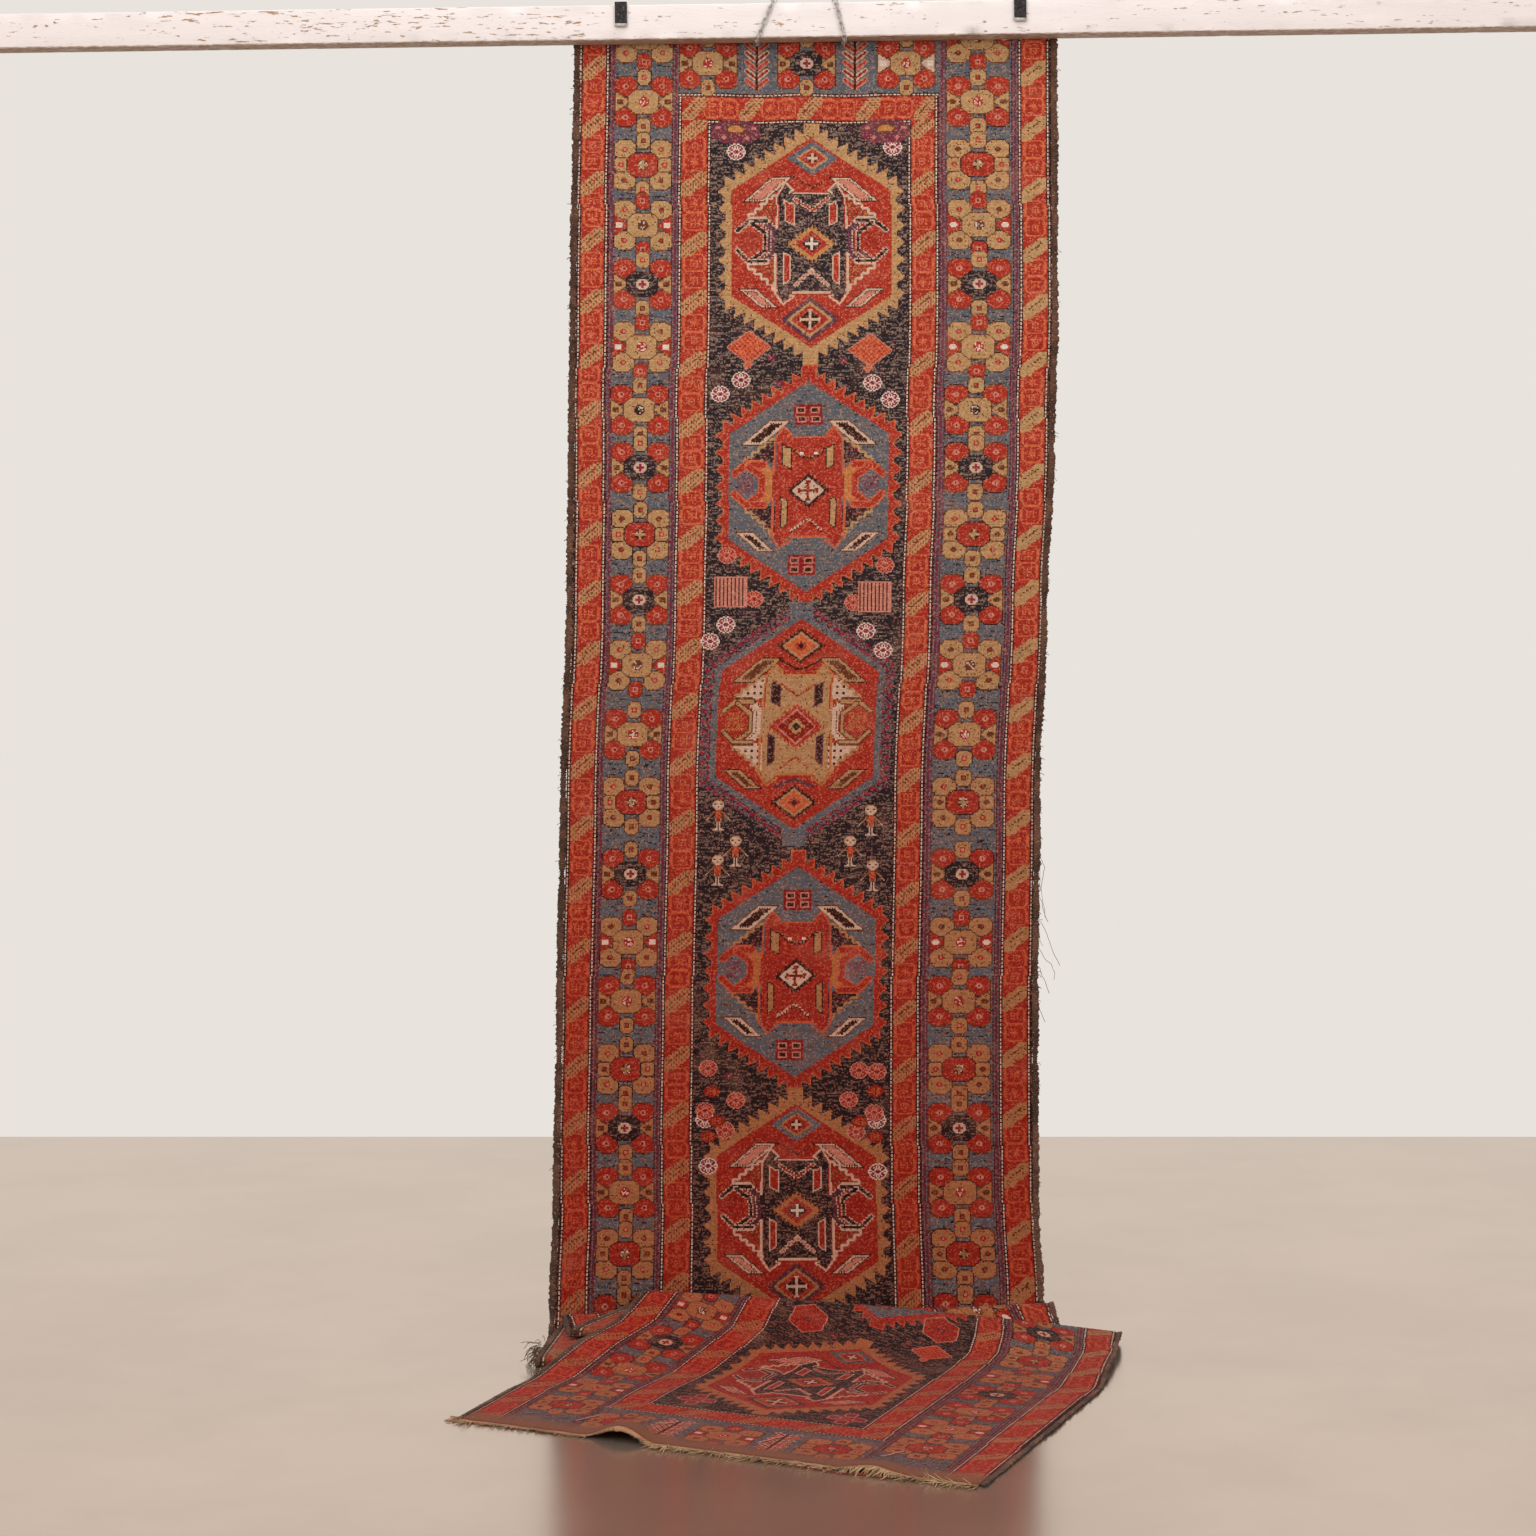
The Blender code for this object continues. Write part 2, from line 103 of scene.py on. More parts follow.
LEVELS = [
    Level(2.90, -0.512, 0.531),
    Level(2.81, -0.513, 0.533),
    Level(2.24, -0.522, 0.535),
    Level(1.92, -0.526, 0.528),
    Level(1.59, -0.530, 0.513),
    Level(1.16, -0.543, 0.497),
    Level(0.73, -0.551, 0.492),
    Level(0.29, -0.559, 0.494),
    Level(0.08, -0.567, 0.505),
]
FOLDS = [
    Fold("heel", 0.045, 2, (-0.569, 0.000, 0.000), (-0.030, 0.000, 0.000), (0.507, -0.004, 0.000)),
    Fold("tuck_low", 0.008, 2, (-0.575, -0.280, 0.000), (-0.033, -0.125, 0.000), (0.510, -0.036, 0.000)),
    Fold("tuck_high", 0.008, 0, (-0.575, -0.280, 0.016), (-0.033, -0.125, 0.016), (0.510, -0.036, 0.016)),
    Fold("ridge_back", 0.009, 2, (-0.539, -0.040, 0.036), (-0.008, -0.033, 0.045), (0.521, -0.016, 0.074)),
    Fold("ridge_front", 0.009, 0, (-0.539, -0.042, 0.055), (-0.008, -0.038, 0.063), (0.523, -0.036, 0.074)),
    Fold("apron", 0.012, 1, (-0.529, -0.100, 0.046), (0.027, -0.075, 0.041), (0.544, -0.068, 0.004)),
    Fold("pleat_low", 0.008, 1, (-0.513, -0.170, 0.035), (0.077, -0.112, 0.026), (0.592, -0.135, 0.000)),
    Fold("pleat_high", 0.008, 0, (-0.513, -0.170, 0.051), (0.077, -0.112, 0.045), (0.592, -0.135, 0.016)),
    Fold("crest_low", 0.010, 2, (-0.361, -0.050, 0.090), (0.152, -0.060, 0.058), (0.665, -0.068, 0.001)),
    Fold("crest_high", 0.010, 0, (-0.361, -0.050, 0.110), (0.152, -0.060, 0.078), (0.665, -0.068, 0.021)),
    Fold("knee", 0.060, 1, (-0.418, -0.160, 0.066), (0.132, -0.150, 0.038), (0.650, -0.150, 0.025)),
    Fold("shin", 0.080, 1, (-0.493, -0.235, 0.042), (0.107, -0.210, 0.016), (0.635, -0.215, 0.009)),
    Fold("toe", 0.120, 1, (-0.578, -0.385, 0.001), (0.057, -0.300, 0.000), (0.612, -0.300, 0.000)),
    Fold("turn", 0.200, 2, (-0.617, -0.473, 0.000), (-0.020, -0.461, 0.000), (0.576, -0.450, 0.000)),
    Fold("end", 0.0, 24, (-0.687, -0.673, 0.0), (-0.201, -0.888, 0.0), (0.284, -1.104, 0.0)),
]
LIFTS = [
    Lift(0.330, 0.00, 0.075, 0.190, 0.024),
    Lift(0.800, 0.00, 0.070, 0.110, 0.010),
    Lift(1.000, 0.86, 0.110, 0.160, 0.012),
]

# %% From the tables to one line of points


def held(value):
    """Hold a share between 0 and 1."""
    return min(max(value, 0.0), 1.0)


def bump(distance, reach):
    """A soft swelling that is 1 in the middle and 0 from its reach outwards."""
    return 0.5 + 0.5 * math.cos(math.pi * distance / reach) if abs(distance) < reach else 0.0


def fold_corner(fold, share):
    """A fold's corner at a share of the width, on a parabola through the table's three places."""
    left, middle, right = (Vector(place) for place in (fold.left, fold.middle, fold.right))
    place = left * (1 - share) * (1 - 2 * share) + middle * 4 * share * (1 - share)
    return place + right * share * (2 * share - 1) + Vector((0, 0, HALF_THICK))


def long_edges(height):
    """The hanging sheet's left and right edge at a height, eased between levels."""
    inside = min(max(height, LEVELS[-1].height), LEVELS[0].height)
    for upper, lower in zip(LEVELS, LEVELS[1:]):
        if inside >= lower.height:
            share = (upper.height - inside) / (upper.height - lower.height)
            eased = share * share * (3 - 2 * share)
            return (upper.left_x + (lower.left_x - upper.left_x) * eased,
                    upper.right_x + (lower.right_x - upper.right_x) * eased)
    return LEVELS[-1].left_x, LEVELS[-1].right_x


def hanging_point(share, height):
    """A point of the hanging stretch: soft waves, curled edges, and room for the chains."""
    left, right = long_edges(height)
    x = left + (right - left) * share
    fade = held((FLAT_TO_HEIGHT - height) / 0.5) * held((height - HANGING_FOOT_HEIGHT) / 0.5)
    waves = 0.007 * math.sin(2 * math.pi * (1.1 * share + 0.05))
    waves += 0.003 * math.sin(2 * math.pi * (2.3 * share + 0.7 * height))
    curl = 0.006 * (2 * share - 1) ** 4
    chains = held(sum(bump(x - foot, 0.105) for foot in SLING_FOOT_X.values()))
    room = 0.0125 * chains * held((height - 2.1) / 0.6)
    return Vector((x, fade * (waves - curl) + room, height))


def rounded(before, corner, after, radius, steps):
    """Points of the arc that rounds one corner."""
    back, ahead = before - corner, after - corner
    room = 0.48 * min(back.length, ahead.length)
    back.normalize()
    ahead.normalize()
    half_angle = back.angle(ahead) / 2
    cut = min(radius / math.tan(half_angle), room)
    radius = cut * math.tan(half_angle)
    centre = corner + (back + ahead).normalized() * (radius / math.sin(half_angle))
    start = corner + back * cut - centre
    sweep = math.pi - 2 * half_angle
    side = ((corner + ahead * cut - centre) - start * math.cos(sweep)).normalized() * radius
    turns = [sweep * step / steps for step in range(steps + 1)]
    return [centre + start * math.cos(turn) + side * math.sin(turn) for turn in turns]


class ClothLine(NamedTuple):
    """The cloth's middle line at one place across: points, length run so far, and two landmarks."""

    points: np.ndarray
    run: np.ndarray
    foot: float
    crest: float


def cloth_line(share, turn_steps=10):
    """Follow the cloth from its top edge to its fringed end."""
    heights = np.concatenate([[RUG_TOP_HEIGHT, 2.83, 2.79],
                              np.linspace(FLAT_TO_HEIGHT, HANGING_FOOT_HEIGHT, 90)])
    points = [hanging_point(share, height) for height in heights]
    foot_index = len(points) - 1
    crest_index = foot_index
    corners = [points[-1]] + [fold_corner(fold, share) for fold in FOLDS]
    for index, fold in enumerate(FOLDS, start=1):
        arc = [corners[index]]
        if index < len(FOLDS):
            arc = rounded(corners[index - 1], corners[index], corners[index + 1], fold.radius, turn_steps)
        if fold.steps_before == 0:
            arc = arc[1:]
        last = points[-1]
        straight = 3 * fold.steps_before
        points += [last.lerp(arc[0], step / straight) for step in range(1, straight)]
        points += arc
        if fold.name == "crest_low":
            crest_index = len(points) - 1
    line = np.array([tuple(point) for point in points])
    run = np.concatenate([[0.0], np.cumsum(np.linalg.norm(np.diff(line, axis=0), axis=1))])
    back = run[-1] - run
    for lift in LIFTS:
        across = bump(share - lift.across, lift.reach_across)
        line[:, 2] += lift.height * across * np.array([bump(b - lift.back, lift.reach_back) for b in back])
    line[:, 1] += SHEET_Y
    line[:, 2] += FLOOR_Z
    return ClothLine(line, run, run[foot_index], run[crest_index])


def cloth_points(share, woven):
    """Points of the cloth at lengths measured along the weave from its top edge.

    The stretch hidden between the folds takes up the difference between the two long edges.
    """
    line = cloth_line(share)
    total = line.run[-1]
    woven_marks = [0.0, line.foot, RUG_LENGTH - (total - line.crest), RUG_LENGTH]
    run = np.interp(woven, woven_marks, [0.0, line.foot, line.crest, total])
    return np.stack([np.interp(run, line.run, line.points[:, axis]) for axis in range(3)], axis=1)


middle_line = cloth_line(0.5)
print(f"cloth in the middle: {middle_line.run[-1]:.2f} m along its line, foot at {middle_line.foot:.2f} m,"
      f" crest {middle_line.run[-1] - middle_line.crest:.2f} m from the end")

# %% [markdown]
# ## The weaver's cartoon
#
# The pattern of a knotted rug is a chart of coloured knots. A picture could be wrapped on the sheet,
# but this rug's chart is drawn here instead, the way a weaver plans one: polygons, lines and small
# charts, each set down knot by knot. Knots are 2.77 mm apart, 368 across and 1516 along. The chart is
# a plain array of dye numbers, and sixteen dyes are enough.

# %% Sixteen dyes
KNOT = RUG_LENGTH / 1516
KNOTS_ACROSS = 368
KNOTS_ALONG = 1516
FACE_KNOTS = 4


class Dye(NamedTuple):
    """A letter for the charts, and the dye's colour as sRGB numbers from 0 to 255."""

    letter: str
    name: str
    colour: tuple


DYES = [
    Dye("n", "night blue", (49, 41, 47)),
    Dye("r", "madder red", (180, 55, 41)),
    Dye("t", "camel", (192, 152, 106)),
    Dye("g", "slate blue", (99, 104, 113)),
    Dye("p", "aubergine", (104, 60, 74)),
    Dye("i", "ivory", (218, 184, 160)),
    Dye("k", "walnut outline", (62, 32, 28)),
    Dye("o", "apricot", (214, 104, 66)),
    Dye("m", "cochineal", (150, 44, 66)),
    Dye("s", "rose", (210, 134, 116)),
    Dye("b", "oak brown", (112, 62, 40)),
    Dye("d", "deep madder", (150, 34, 26)),
    Dye("w", "white", (234, 214, 200)),
    Dye("h", "worn knots", (130, 111, 101)),
    Dye("y", "marigold", (200, 132, 76)),
    Dye("c", "coal", (34, 30, 34)),
]
DYE = {dye.letter: number for number, dye in enumerate(DYES)}
CLEAR = 255
dice = np.random.default_rng(11)
print(len(DYES), "dyes")

# %% A tile of knots, and how shapes are drawn on it
ONCE = ((1, 1),)
SIDES = ((1, 1), (-1, 1))
CORNERS = ((1, 1), (-1, 1), (1, -1), (-1, -1))


class Tile:
    """A small chart whose middle is (0, 0), in knots: x to the right, y down the rug."""

    def __init__(self, wide, long):
        self.x, self.y = np.meshgrid(np.arange(wide) - (wide - 1) / 2, np.arange(long) - (long - 1) / 2)
        self.knots = np.full(self.x.shape, CLEAR, np.uint8)

    def inside(self, points):
        """Knots inside a polygon, by counting the edges to the left of each."""
        found = np.zeros(self.x.shape, bool)
        for (x0, y0), (x1, y1) in zip(points, points[1:] + points[:1]):
            if y0 != y1:
                crosses = (self.y < y0) != (self.y < y1)
                found ^= crosses & (self.x < x0 + (self.y - y0) * (x1 - x0) / (y1 - y0))
        return found

    def near(self, points, width, dash=None):
        """Knots along a line, all of it or in dashes of (on, off)."""
        found = np.zeros(self.x.shape, bool)
        before = 0.0
        for (x0, y0), (x1, y1) in zip(points, points[1:]):
            length = math.hypot(x1 - x0, y1 - y0)
            along = ((self.x - x0) * (x1 - x0) + (self.y - y0) * (y1 - y0)) / length
            away = np.hypot(self.x - x0 - np.clip(along, 0, length) * (x1 - x0) / length,
                            self.y - y0 - np.clip(along, 0, length) * (y1 - y0) / length)
            hit = away <= width / 2
            if dash:
                hit &= (before + np.clip(along, 0, length)) % sum(dash) < dash[0]
            found |= hit
            before += length
        return found

    def shape(self, points, letter, copies=ONCE, rim=None):
        """Fill a polygon and its mirrored copies, with a rim of another dye if it has one."""
        for flip_x, flip_y in copies:
            mask = self.inside([(x * flip_x, y * flip_y) for x, y in points])
            self.knots[mask] = DYE[letter]
            if rim:
                self.knots[edge_of(mask)] = DYE[rim]

    def line(self, points, letter, copies=ONCE, width=1.3, dash=None):
        """Draw a line and its mirrored copies."""
        for flip_x, flip_y in copies:
            self.knots[self.near([(x * flip_x, y * flip_y) for x, y in points], width, dash)] = DYE[letter]

    def diamond(self, x, y, half_wide, half_long, letter, rim=None, copies=ONCE):
        """Fill a diamond."""
        self.shape([(x - half_wide, y), (x, y - half_long), (x + half_wide, y), (x, y + half_long)],
                   letter, copies, rim)

    def oval(self, x, y, half_wide, half_long, letter, rim=None, copies=ONCE):
        """Fill an eight-sided oval."""
        wide, long = half_wide * 0.5, half_long * 0.5
        self.shape([(x - wide, y - half_long), (x + wide, y - half_long), (x + half_wide, y - long),
                    (x + half_wide, y + long), (x + wide, y + half_long), (x - wide, y + half_long),
                    (x - half_wide, y + long), (x - half_wide, y - long)], letter, copies, rim)

    def speckle(self, mask, letter, share):
        """Scatter single knots of another dye over a mask."""
        self.knots[mask & (dice.random(mask.shape) < share)] = DYE[letter]

    def chart(self, rows, x, y, copies=ONCE):
        """Set a small chart of letters down around a place. A full stop leaves the knot as it is."""
        letters = np.array([[DYE.get(letter, CLEAR) for letter in row] for row in rows], np.uint8)
        for flip_x, flip_y in copies:
            turned = letters[::flip_y, ::flip_x]
            top = round((self.knots.shape[0] - turned.shape[0]) / 2 + y * flip_y)
            left = round((self.knots.shape[1] - turned.shape[1]) / 2 + x * flip_x)
            paste(self.knots, turned, top, left)


def edge_of(mask):
    """Knots of a mask that touch what lies outside it."""
    inner = np.pad(mask, 1)
    inner = inner[:-2, 1:-1] & inner[2:, 1:-1] & inner[1:-1, :-2] & inner[1:-1, 2:]
    return mask & ~inner


def paste(target, source, top, left):
    """Copy the knots that aren't clear, cut off at the target's edges."""
    first_row, first_column = max(0, -top), max(0, -left)
    rows = min(source.shape[0], target.shape[0] - top)
    columns = min(source.shape[1], target.shape[1] - left)
    if rows <= first_row or columns <= first_column:
        return
    piece = source[first_row:rows, first_column:columns]
    place = target[top + first_row:top + rows, left + first_column:left + columns]
    place[piece != CLEAR] = piece[piece != CLEAR]


print("tiles are ready")

# %% [markdown]
# ## Hooked medallions
#
# Seven six-sided medallions run down the field. Each has a toothed band, four leaning bars, a hide
# figure with a jewel in its middle, a hook at each side and stepped corners. Three colourings take
# turns, so one function draws the parts and a small table says which dyes they get.

# %% Dyes of the three kinds of medallion


class Colouring(NamedTuple):
    """Dye letters of one kind of medallion."""

    ground: str
    band: str
    band_line: str
    hide: str
    hide_line: str
    bar: str
    bar_line: str
    hook: str
    hook_line: str
    link: str
    corner: str
    corner_dots: str
    stair: str
    leaning: str
    leaning_line: str
    leaning_dots: str
    oval: str
    oval_dots: str


CAMEL_BAND = Colouring(*"rttniriciprbiiktrd")
MADDER_BAND = Colouring(*"grorotkroynktibkgm")
SLATE_BAND = Colouring(*"rgptykptbiikttkbry")
HALF_WIDE = 62.0
SHOULDER = 41.0
TIP = 82.0


def hexagon(grow):
    """The medallion's six corners, moved outwards."""
    wide, shoulder, tip = HALF_WIDE + grow, SHOULDER + 0.5 * grow, TIP + 1.15 * grow
    return [(-wide, -shoulder), (0, -tip), (wide, -shoulder), (wide, shoulder), (0, tip), (-wide, shoulder)]


# %% Toothed band


def toothed_band(tile, dyes):
    """A band around the hexagon: triangles on its upright sides, a saw on its slopes, a stub on each tip."""
    solid = tile.inside(hexagon(4.5))
    edge, shoulder, tip = HALF_WIDE + 4.5, SHOULDER + 2.2, TIP + 5.2
    pitch = 2 * shoulder / 6.5
    for tooth in range(7):
        y = -shoulder + 3 + tooth * pitch
        for flip in (1, -1):
            root, point = flip * (edge - 1), flip * (edge + 6)
            solid |= tile.inside([(root, y - 5.6), (point, y), (root, y + 5.6)])
    teeth = 8
    step = edge / (teeth + 0.6)
    rise = (tip - shoulder) / edge
    for tooth in range(teeth):
        x = edge - tooth * step
        y = -(shoulder + (edge - x) * rise)
        for flip_x, flip_y in CORNERS:
            points = [(x + 1, y - 9.5), (x, y + 2),
                      (x - step, y + 2 - step * rise), (x - step, y - step * rise)]
            solid |= tile.inside([(px * flip_x, py * flip_y) for px, py in points])
    solid |= (np.abs(tile.x) < 6.5) & (np.abs(tile.y) > TIP)
    tile.knots[solid] = DYE[dyes.band]
    tile.knots[edge_of(solid)] = DYE[dyes.band_line]
    if dyes is CAMEL_BAND:
        tile.speckle(solid, "y", 0.10)
        rim = edge_of(np.pad(solid, 1)[2:, 1:-1] | solid | np.pad(solid, 1)[:-2, 1:-1])
        tile.knots[rim & ~solid & (dice.random(rim.shape) < 0.6)] = DYE["p"]


def speckled_band(tile):
    """The slate band has no teeth: it fades into the field in small cochineal crosses."""
    ground = tile.inside(hexagon(5)) | ((np.abs(tile.x) < 9) & (np.abs(tile.y) > TIP))
    haze = tile.inside(hexagon(13)) & (np.abs(tile.x) < 76)
    tile.knots[haze & (dice.random(haze.shape) < 0.5)] = DYE["g"]
    tile.knots[ground] = DYE["g"]
    tile.speckle(ground, "h", 0.12)
    cells = (np.floor(tile.x / 5) + np.floor(tile.y / 4)) % 2 == 0
    crosses = (np.abs(tile.x % 5 - 2) < 0.7) | (np.abs(tile.y % 4 - 2) < 0.6)
    tile.knots[haze & ~ground & cells & crosses] = DYE["m"]
    tile.knots[haze & ~ground & ~cells & (dice.random(haze.shape) < 0.3)] = DYE["p"]


# %% Leaning bars, stepped corners, hooks and the hide


LEANING_BARS = (
    ([(-54.5, -31.5), (-37, -31.5), (-13, -52), (-30.5, -52)],
     [(-48, -34), (-38, -34), (-20, -49.5), (-30, -49.5)]),
    ([(-57.5, 35), (-43, 35), (-24, 51.5), (-38, 51.5)], [(-51, 37.5), (-44, 37.5), (-31, 49), (-37, 49)]),
)


def leaning_bars(tile, dyes):
    """Four slanting bars, with a rim, an inner frame and a dotted core."""
    for outer, inner in LEANING_BARS:
        tile.shape(outer, dyes.leaning, SIDES, dyes.leaning_line)
        tile.shape(inner, "s" if dyes is CAMEL_BAND else dyes.leaning_dots, SIDES)
        tile.line(inner + inner[:1], "b" if dyes is CAMEL_BAND else dyes.leaning, SIDES, 1.2, (1, 1))


def stepped_corners(tile, dyes):
    """Stairs run from the hooks to the hide, and the space inside them is dotted."""
    upper = [(-49, -19), (-49, -23), (-44, -23), (-44, -27), (-39, -27), (-39, -31), (-34, -31), (-34, -34.5),
             (-30, -34.5), (-30, -37), (-26, -37)]
    lower = [(-49, 15), (-49, 20), (-44, 20), (-44, 24), (-39, 24), (-39, 28), (-34, 28), (-34, 32.5),
             (-30, 32.5), (-30, 37), (-26, 37)]
    for stair, foot in ((upper, -19), (lower, 15)):
        for flip in (1, -1):
            mask = tile.inside([(x * flip, y) for x, y in stair + [(-26, foot)]])
            tile.knots[mask] = DYE[dyes.corner]
            if dyes is SLATE_BAND:
                dots = mask & (tile.x % 5 < 2) & (tile.y % 5 < 2) & (np.abs(tile.x) < 40)
                tile.knots[dots] = DYE[dyes.corner_dots]
            else:
                tile.knots[mask & ((tile.x + 2 * np.floor(tile.y / 2)) % 3 < 1.2)] = DYE[dyes.corner_dots]
                tile.speckle(mask, "m" if dyes is MADDER_BAND else "y", 0.12)
        tile.line(stair, dyes.stair, SIDES, 1.3)


def side_hooks(tile, dyes):
    """Two anchors that open outwards, each with a speckled oval in its mouth."""
    tile.oval(-48, -2, 11, 12.5, dyes.oval, None, SIDES)
    dots = (np.abs(np.abs(tile.x) - 48) < 7) & (np.abs(tile.y + 2) < 7) & ((tile.x + tile.y) % 2 == 0)
    tile.knots[dots & (dice.random(dots.shape) < 0.7)] = DYE[dyes.oval_dots]
    tile.shape([(-41, -18), (-32, -18), (-26, -11), (-26, 7), (-33, 15), (-42, 15), (-33.5, 6), (-33.5, -8)],
               dyes.link, SIDES)
    tile.line([(-42, -17.5), (-31.5, -9), (-31.5, 6.5), (-41, 14.5)], dyes.hook_line, SIDES, 1.2, (1.5, 1))
    tile.line([(-33, -17.5), (-26.5, -10.5)], dyes.hook_line, SIDES, 1.2, (1.5, 1))
    tile.line([(-33, 14), (-26.5, 7)], dyes.hook_line, SIDES, 1.2, (1.5, 1))
    width = 4.2 if dyes is MADDER_BAND else 2.6
    for path in ([(-57.5, -10), (-49, -17.5), (-35, -17.5)], [(-47, -16), (-36, -8), (-36, 5.5), (-46.5, 13)],
                 [(-57.5, 5.5), (-49, 14), (-35, 14)]):
        tile.line(path, dyes.hook_line, SIDES, width + 1.8, (1.6, 0.9) if dyes is CAMEL_BAND else None)
        tile.line(path, dyes.hook, SIDES, width)
    tile.line([(-49, -20), (-35, -20)], dyes.hook_line, SIDES, 1.2)
    tile.line([(-49, 16.6), (-35, 16.6)], dyes.hook_line, SIDES, 1.2)


def hide_figure(tile, dyes):
    """The hide: a waisted body with horns above and feet below, bars along its sides and two chevrons."""
    right = [(12, -38.5), (15, -43.5), (20, -45), (25, -37), (25, -12), (28, -9), (28, 7), (26, 9), (26, 39),
             (22, 46), (17, 43), (15, 39)]
    body = right + [(-x, y) for x, y in reversed(right)]
    tile.shape(body, dyes.hide)
    tile.speckle(tile.inside(body), "h" if dyes is CAMEL_BAND else dyes.hide, 0.10)
    edge = 1.4
    tile.line([(-27, -11), (-26.5, -36), (-20, -47), (-13.5, -41), (-17, -39)], dyes.hide_line, SIDES, edge)
    tile.line([(-13, -38.8), (13, -38.8)], dyes.hide_line, ONCE, edge)
    tile.line([(-28, 8), (-28, 39), (-22, 48), (-13.5, 42), (-17, 41)], dyes.hide_line, SIDES, edge)
    tile.line([(-15, 39), (15, 39)], dyes.hide_line, ONCE, edge)
    for bar in ([(-20.5, -34), (-16, -31), (-13, -31), (-13, -13), (-20.5, -17)],
                [(-22, 7), (-16, 10), (-16, 29), (-22, 33.5)]):
        tile.shape(bar, dyes.bar, SIDES, dyes.bar_line)
    if dyes is CAMEL_BAND:
        tile.line([(-12.5, -34), (0.5, -25), (13.5, -35)], "i", ONCE, 3.6, (1.4, 0.9))
        tile.line([(-12.5, -34), (0.5, -25), (13.5, -35)], "r", ONCE, 1.4)
        tile.line([(-12.5, 33), (0, 22), (12.5, 33)], "i", ONCE, 3.4, (1.4, 0.9))
        tile.line([(-12.5, 33), (0, 22), (12.5, 33)], "s", ONCE, 1.2)
    elif dyes is MADDER_BAND:
        tile.line([(-12, -29), (-7, -24), (0, -22), (7, -24), (12, -29)], "k", ONCE, 2.4, (2.0, 1.0))
        tile.line([(-12, -30), (-7, -25), (0, -23), (7, -25), (12, -30)], "t", ONCE, 1.2, (1.2, 1.2))
        tile.line([(-6, -26), (-5, -26)], "w", SIDES, 2.4)
        tile.line([(-13, 34), (0, 25), (11, 34)], "i", ONCE, 2.2, (1.6, 1.2))
        tile.line([(-13, 35.2), (0, 26.2), (11, 35.2)], "k", ONCE, 1.2, (1.2, 1.2))
    else:
        tile.line([(-13, -31), (0, -22), (13, -31)], "r", ONCE, 1.8, (1.6, 0.7))
        tile.line([(-11, 34), (0, 26), (11, 34)], "r", ONCE, 1.8, (1.6, 0.7))


# %% Jewels


def toothed_diamond(tile, x, y, half_wide, half_long, letter):
    """A diamond whose edge steps in and out every second knot."""
    ring = np.abs(tile.x - x) / half_wide + np.abs(tile.y - y) / half_long
    teeth = ((tile.x - x) % 3 < 1.5) * 0.13
    tile.knots[ring < 1 + teeth] = DYE[letter]


def cross(tile, x, y, arm, letter, serif=0):
    """A plain cross, with a short bar across the end of each arm if it has serifs."""
    tile.line([(x - arm, y), (x + arm, y)], letter, ONCE, 1.3)
    tile.line([(x, y - arm), (x, y + arm)], letter, ONCE, 1.3)
    if serif:
        for step_x, step_y in ((arm, 0), (-arm, 0), (0, arm), (0, -arm)):
            across = (serif, 0) if step_x == 0 else (0, serif)
            tile.line([(x + step_x - across[0], y + step_y - across[1]),
                       (x + step_x + across[0], y + step_y + across[1])], letter, ONCE, 1.2)


def four_squares(tile, x, y):
    """Two rows of two small framed squares on a madder patch."""
    tile.shape([(x - 11, y - 8), (x + 11, y - 8), (x + 11, y + 8), (x - 11, y + 8)], "d")
    tile.speckle((np.abs(tile.x - x) < 11) & (np.abs(tile.y - y) < 8), "m", 0.3)
    for side_x, side_y in CORNERS:
        left, top = x + side_x * 5.5 - 3.5, y + side_y * 3.8 - 2.4
        tile.shape([(left, top), (left + 7, top), (left + 7, top + 5), (left, top + 5)], "k", ONCE, "s")


def centre_jewel(tile, dyes):
    """The diamond in the middle of the hide."""
    if dyes is CAMEL_BAND:
        toothed_diamond(tile, 0, 1, 18, 13.5, "y")
        tile.speckle(np.abs(tile.x) / 18 + np.abs(tile.y - 1) / 13.5 < 1, "t", 0.5)
        tile.diamond(0, 1, 13, 10, "r")
        tile.diamond(0, 1, 7.5, 6.5, "n")
        cross(tile, 0, 1, 5, "w")
    elif dyes is MADDER_BAND:
        toothed_diamond(tile, 0, 3, 16, 13, "k")
        tile.diamond(0, 3, 13, 10.5, "i")
        cross(tile, 0, 3, 7, "d", 1.5)
        tile.speckle(np.abs(tile.x) / 9 + np.abs(tile.y - 3) / 8 < 1, "b", 0.18)
    else:
        toothed_diamond(tile, 0, 2, 21, 17, "r")
        tile.diamond(0, 2, 16, 14, "s")
        tile.diamond(0, 2, 14.5, 12.5, "d")
        toothed_diamond(tile, 0, 2, 7, 6, "t")
        tile.diamond(0, 2, 4, 3.5, "k")


